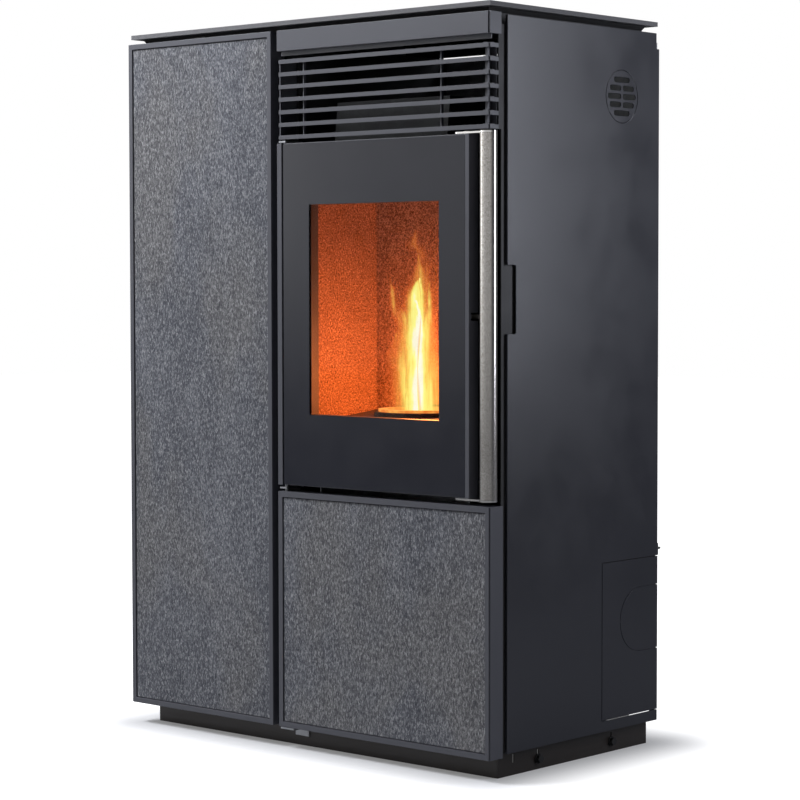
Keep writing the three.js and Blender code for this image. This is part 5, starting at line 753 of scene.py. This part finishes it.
def bed(name, low, high, cell, rough, material, body, seed):
    """A layer with an uneven top, filling a box from its floor; rough is the depth of its hollows."""
    columns = round((high[0] - low[0]) / cell)
    rows = round((high[1] - low[1]) / cell)
    draw = random.Random(seed)
    phase = [draw.uniform(0, 6) for _ in range(4)]
    points, faces = [], []
    for level in (0, 1):
        for row in range(rows + 1):
            for column in range(columns + 1):
                u, v = column / columns, row / rows
                swell = math.sin(5 * u + phase[0]) * math.sin(4 * v + phase[1])
                swell += FINE_SWELL * math.sin(13 * u + phase[2]) * math.sin(11 * v + phase[3])
                share = swell / (1 + FINE_SWELL) - 1 + draw.uniform(-0.15, 0.15)
                top = high[2] + rough * share
                z = top if level else low[2]
                points.append((low[0] + (high[0] - low[0]) * u, low[1] + (high[1] - low[1]) * v, z))
    layer = (columns + 1) * (rows + 1)
    for quad in grid_faces(0, columns, rows):
        faces.append(tuple(reversed(quad)))
        faces.append(tuple(layer + i for i in quad))
    rim = list(range(columns))
    rim += [row * (columns + 1) + columns for row in range(rows)]
    rim += [rows * (columns + 1) + column for column in range(columns, 0, -1)]
    rim += [row * (columns + 1) for row in range(rows, 0, -1)]
    for a, b in zip(rim, rim[1:] + rim[:1]):
        faces.append((a, b, layer + b, layer + a))
    return piece(name, points, faces, material, body)


# Burning pellets in the pot.
EMBER_COUNT = 190
EMBER_LENGTHS = (0.006, 0.013)
EMBER_RADIUS = 0.041
EMBER_LEVEL = POT_LOW.z + 0.034
EMBER_CROWN = 0.012
EMBER_DEPTH = 0.020


def in_pot(draw):
    """A place in a crowned layer of embers."""
    radius = EMBER_RADIUS * math.sqrt(draw.random())
    turn = draw.uniform(0, 2 * math.pi)
    crown = EMBER_CROWN * (1 - (radius / EMBER_RADIUS) ** 2)
    z = EMBER_LEVEL + crown - draw.uniform(0.0, EMBER_DEPTH)
    return (POT.x + radius * math.cos(turn), POT.y + radius * math.sin(turn), z)


pellets("embers", EMBER_COUNT, in_pot, EMBER_LENGTHS, embers("embers"), "burn_pot", seed=3)

# Pellets in the hopper, a little below the finger guard: loose ones on a layer that spans the bin.
GUARD_LOW, GUARD_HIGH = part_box("hopper_grid")
PELLET_LEVEL = GUARD_LOW.z - 0.063
PELLET_COUNT = 900
PELLET_LENGTHS = (0.011, 0.024)
PELLET_EDGE = 0.014  # loose pellets from the guard's outline
PELLET_DEPTH = 0.010
LAYER_EDGE = 0.001
LAYER_DEPTH = 0.060
wood = wood_pellets("wood pellets")
bed("hopper_fill", (GUARD_LOW.x + LAYER_EDGE, GUARD_LOW.y + LAYER_EDGE, PELLET_LEVEL - LAYER_DEPTH),
    (GUARD_HIGH.x - LAYER_EDGE, GUARD_HIGH.y - LAYER_EDGE, PELLET_LEVEL),
    cell=0.012, rough=0.008, material=wood, body="stove", seed=5)


def in_hopper(draw):
    """A place in the top layer of pellets."""
    x = draw.uniform(GUARD_LOW.x + PELLET_EDGE, GUARD_HIGH.x - PELLET_EDGE)
    y = draw.uniform(GUARD_LOW.y + PELLET_EDGE, GUARD_HIGH.y - PELLET_EDGE)
    return (x, y, PELLET_LEVEL - draw.uniform(0.000, PELLET_DEPTH))


pellets("hopper_pellets", PELLET_COUNT, in_hopper, PELLET_LENGTHS, wood, "stove", seed=8)

# Ash in the drawer.
DRAWER_LOW, DRAWER_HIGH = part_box("ash_drawer")
DRAWER_SHEET = 0.0022
DRAWER_FRONT = 0.012  # from the front of the drawer to its inside
ASH_LEVEL = 0.030  # over the drawer's underside
bed("ash", (DRAWER_LOW.x + DRAWER_SHEET, DRAWER_LOW.y + DRAWER_FRONT, DRAWER_LOW.z + DRAWER_SHEET),
    (DRAWER_HIGH.x - DRAWER_SHEET, DRAWER_HIGH.y - DRAWER_SHEET, DRAWER_LOW.z + ASH_LEVEL),
    cell=0.008, rough=0.007, material=wood_ash("wood ash"), body="ash_drawer", seed=11)


def turned(name, profile, sides, place, axis, material, slot_name):
    """A small turned part: (radius, height) pairs turned round an axis, closed at both ends."""
    turn = Vector(axis).to_track_quat("Z", "Y").to_matrix()
    points = []
    for radius, height in profile:
        for i in range(sides):
            angle = 2 * math.pi * i / sides
            ring = turn @ Vector((radius * math.cos(angle), radius * math.sin(angle), height))
            points.append(ring + Vector(place))
    piece(name, points, tube_faces(0, len(profile), sides), material, "stove", slot_name)


# Hexagon levelling screws in the plinth's keyholes, with their washers.
PLINTH_LOW, PLINTH_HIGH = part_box("plinth")
KEYHOLE_DEPTHS = (0.133, 0.313)  # from the front of the doors
KEYHOLE_HEIGHT = 0.016
WASHER = [(0.0075, 0.0003), (0.0078, 0.0006), (0.0078, 0.0014), (0.0075, 0.0017)]
WASHER_SIDES = 20
HEX_HEAD = [(0.0062, 0.0019), (0.0066, 0.0024), (0.0066, 0.0060), (0.0060, 0.0066)]
HEX_SIDES = 6
black_screw = heat_black("blackened screw")
for side, x, outward in (("left", PLINTH_LOW.x, -1), ("right", PLINTH_HIGH.x, 1)):
    for place, depth in zip(("front", "rear"), KEYHOLE_DEPTHS):
        spot, axis = (x, DOOR_LOW.y + depth, KEYHOLE_HEIGHT), (outward, 0, 0)
        turned(f"washer_{side}_{place}", WASHER, WASHER_SIDES, spot, axis, black_screw, "cast_iron")
        turned(f"screw_{side}_{place}", HEX_HEAD, HEX_SIDES, spot, axis, black_screw, "cast_iron")

# Pan-head screws round the back panel: up its sides, between them along the top, and along its foot.
PAN_HEAD = [(0.0042, 0.0002), (0.0044, 0.0008), (0.0038, 0.0020), (0.0022, 0.0027), (0.0005, 0.0029)]
PAN_SIDES = 14
BACK_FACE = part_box("back_panel")[1].y
BACK_LEFT, BACK_RIGHT, BACK_TOP, BACK_FOOT = -0.355, 0.360, 1.06, 0.075
BACK_SIDE_HEIGHTS = (0.345, 0.58, 0.82, BACK_TOP)
BACK_TOP_PLACES = (-0.12, 0.12)
BACK_FOOT_PLACES = (BACK_LEFT, -0.12, 0.19)
BACK_SCREWS = [(x, z) for x in (BACK_LEFT, BACK_RIGHT) for z in BACK_SIDE_HEIGHTS]
BACK_SCREWS += [(x, BACK_TOP) for x in BACK_TOP_PLACES]
BACK_SCREWS += [(x, BACK_FOOT) for x in BACK_FOOT_PLACES]
for number, (x, z) in enumerate(BACK_SCREWS):
    spot = (x, BACK_FACE, z)
    turned(f"back_screw_{number}", PAN_HEAD, PAN_SIDES, spot, (0, 1, 0), FINISHES["steel"], "steel")

# ---------------------------------------------------------------- stage, light and camera


def lamp(name, place, target, size, power, colour=WHITE):
    """A rectangular soft lamp; power in watts."""
    data = bpy.data.lights.new(name, "AREA")
    data.shape = "RECTANGLE"
    data.size, data.size_y = size
    data.energy = power
    data.color = colour
    made = bpy.data.objects.new(name, data)
    made.location = place
    made.rotation_euler = (Vector(target) - Vector(place)).to_track_quat("-Z", "Y").to_euler()
    bpy.context.scene.collection.objects.link(made)


lamp("key", place=(-1.0, -1.25, 2.35), target=(-0.1, -0.1, 0.95), size=(0.9, 0.9), power=62.0,
     colour=(0.97, 0.99, 1.06))
lamp("fill", place=(-2.6, -1.8, 1.6), target=(-0.1, 0.0, 0.8), size=(1.4, 1.8), power=11.0)
# The rear lamp lights the right side panel.
lamp("rear", place=(1.50, 0.80, 1.14), target=(0.378, -0.2, 0.82), size=(0.30, 1.26), power=12.2,
     colour=(0.95, 0.98, 1.10))

glow = bpy.data.lights.new("fire glow", "POINT")
glow.energy = 3.2
glow.color = (1.0, 0.23, 0.055)
glow.shadow_soft_size = 0.035
glow_object = bpy.data.objects.new("fire glow", glow)
glow_object.location = (0.160, -0.107, 0.570)  # low in the flame
bpy.context.scene.collection.objects.link(glow_object)

SIDE_FADE = (-0.5, 0.35)  # X of a direction, over which the light of the left side fades
FRONT_FADE = (0.1, -0.5)  # Y of a direction, over which the mirrored light of the front comes in


def studio_sky(name):
    """White paper all round for the camera, and uneven soft light for the object.

    Camera and transmission rays see the paper. Gloss sees it on the left and, dimmer, in front; a dark
    flag stands behind on the right.
    """
    sky = Shader(bpy.data.worlds.new(name), "ShaderNodeOutputWorld", "Generated")
    x, y, _ = sky.axes(sky.place)
    ray = sky.node("ShaderNodeLightPath").outputs
    strength = sky.level(x, *SIDE_FADE, 0.27, 0.030)
    soft = sky.node("ShaderNodeBackground", {0: (0.92, 0.96, 1.06, 1.0), 1: strength}).outputs[0]
    paper = sky.node("ShaderNodeBackground", {0: (*WHITE, 1.0)}).outputs[0]
    left = sky.level(x, *SIDE_FADE, 0.85, 0.0)
    ahead = sky.level(y, *FRONT_FADE, 0.0, 0.50)
    mirrored = sky.math("MULTIPLY", ray["Is Glossy Ray"], sky.math("MAXIMUM", left, ahead))
    seen = sky.math("MAXIMUM", ray["Is Camera Ray"], ray["Is Transmission Ray"])
    seen = sky.math("MAXIMUM", seen, mirrored)
    return sky.show(sky.node("ShaderNodeMixShader", {0: seen, 1: soft, 2: paper}).outputs[0])


bpy.context.scene.world = studio_sky("studio")

FLOOR_HALF = 12.0
PAINTED_SHADOW_FROM = (0.35, 0.19, 0.0)  # about half of the plinth, from which the painted shadow's reach is measured
# how far out the painted shadow reaches before the camera's white glow is full
PAINTED_SHADOW_REACH = 0.17


def studio_floor(name):
    """White paper floor: lit paper that takes the object's real contact shadow, and a white glow for the
    camera that is weaker near the object, a painted shadow round it; plain white further out.
    """
    f = Finish(name)
    past = f.vector("SUBTRACT", f.vector("ABSOLUTE", f.place), PAINTED_SHADOW_FROM)
    away = f.vector("LENGTH", f.vector("MAXIMUM", past))
    fibre = f.noise(90.0, detail=3)
    paper = f.node("ShaderNodeBsdfPrincipled", {
        "Base Color": f.mix(fibre, (0.55, 0.55, 0.55), (0.59, 0.59, 0.59)),
        "Roughness": 0.9,
        "Specular IOR Level": 0.1,
    }).outputs[0]
    camera_ray = f.node("ShaderNodeLightPath").outputs["Is Camera Ray"]
    # the camera's white glow is weaker near the footprint: painted shadow over the paper's real shadow
    lift = f.math("MULTIPLY", camera_ray, f.level(away, 0.0, PAINTED_SHADOW_REACH, 0.18, 1.1, smooth=True))
    extra = f.node("ShaderNodeEmission", {"Color": (*WHITE, 1.0), "Strength": lift}).outputs[0]
    return f.show(f.node("ShaderNodeAddShader", {0: paper, 1: extra}).outputs[0])


mesh = bpy.data.meshes.new("floor")
corners = [(x * FLOOR_HALF, y * FLOOR_HALF, 0) for x, y in ((-1, -1), (1, -1), (1, 1), (-1, 1))]
mesh.from_pydata(corners, [], [(0, 1, 2, 3)])
mesh.materials.append(studio_floor("floor paper"))
floor = bpy.data.objects.new("floor", mesh)
bpy.context.scene.collection.objects.link(floor)

CAMERA_PLACE = (2.5816, -2.8864, 0.7208)
CAMERA_YAW, CAMERA_PITCH, CAMERA_ROLL = math.radians(41.61), math.radians(-2.80), math.radians(-0.08)
camera_data = bpy.data.cameras.new("camera")
camera_data.sensor_width = 36.0
camera_data.lens = 109.79
camera_data.clip_end = 60.0
camera = bpy.data.objects.new("camera", camera_data)
turn = Matrix.Rotation(CAMERA_YAW, 4, "Z")
turn @= Matrix.Rotation(math.pi / 2 + CAMERA_PITCH, 4, "X")
turn @= Matrix.Rotation(CAMERA_ROLL, 4, "Z")
camera.matrix_world = Matrix.Translation(CAMERA_PLACE) @ turn
bpy.context.scene.collection.objects.link(camera)
bpy.context.scene.camera = camera
bpy.context.scene.view_settings.view_transform = "Standard"
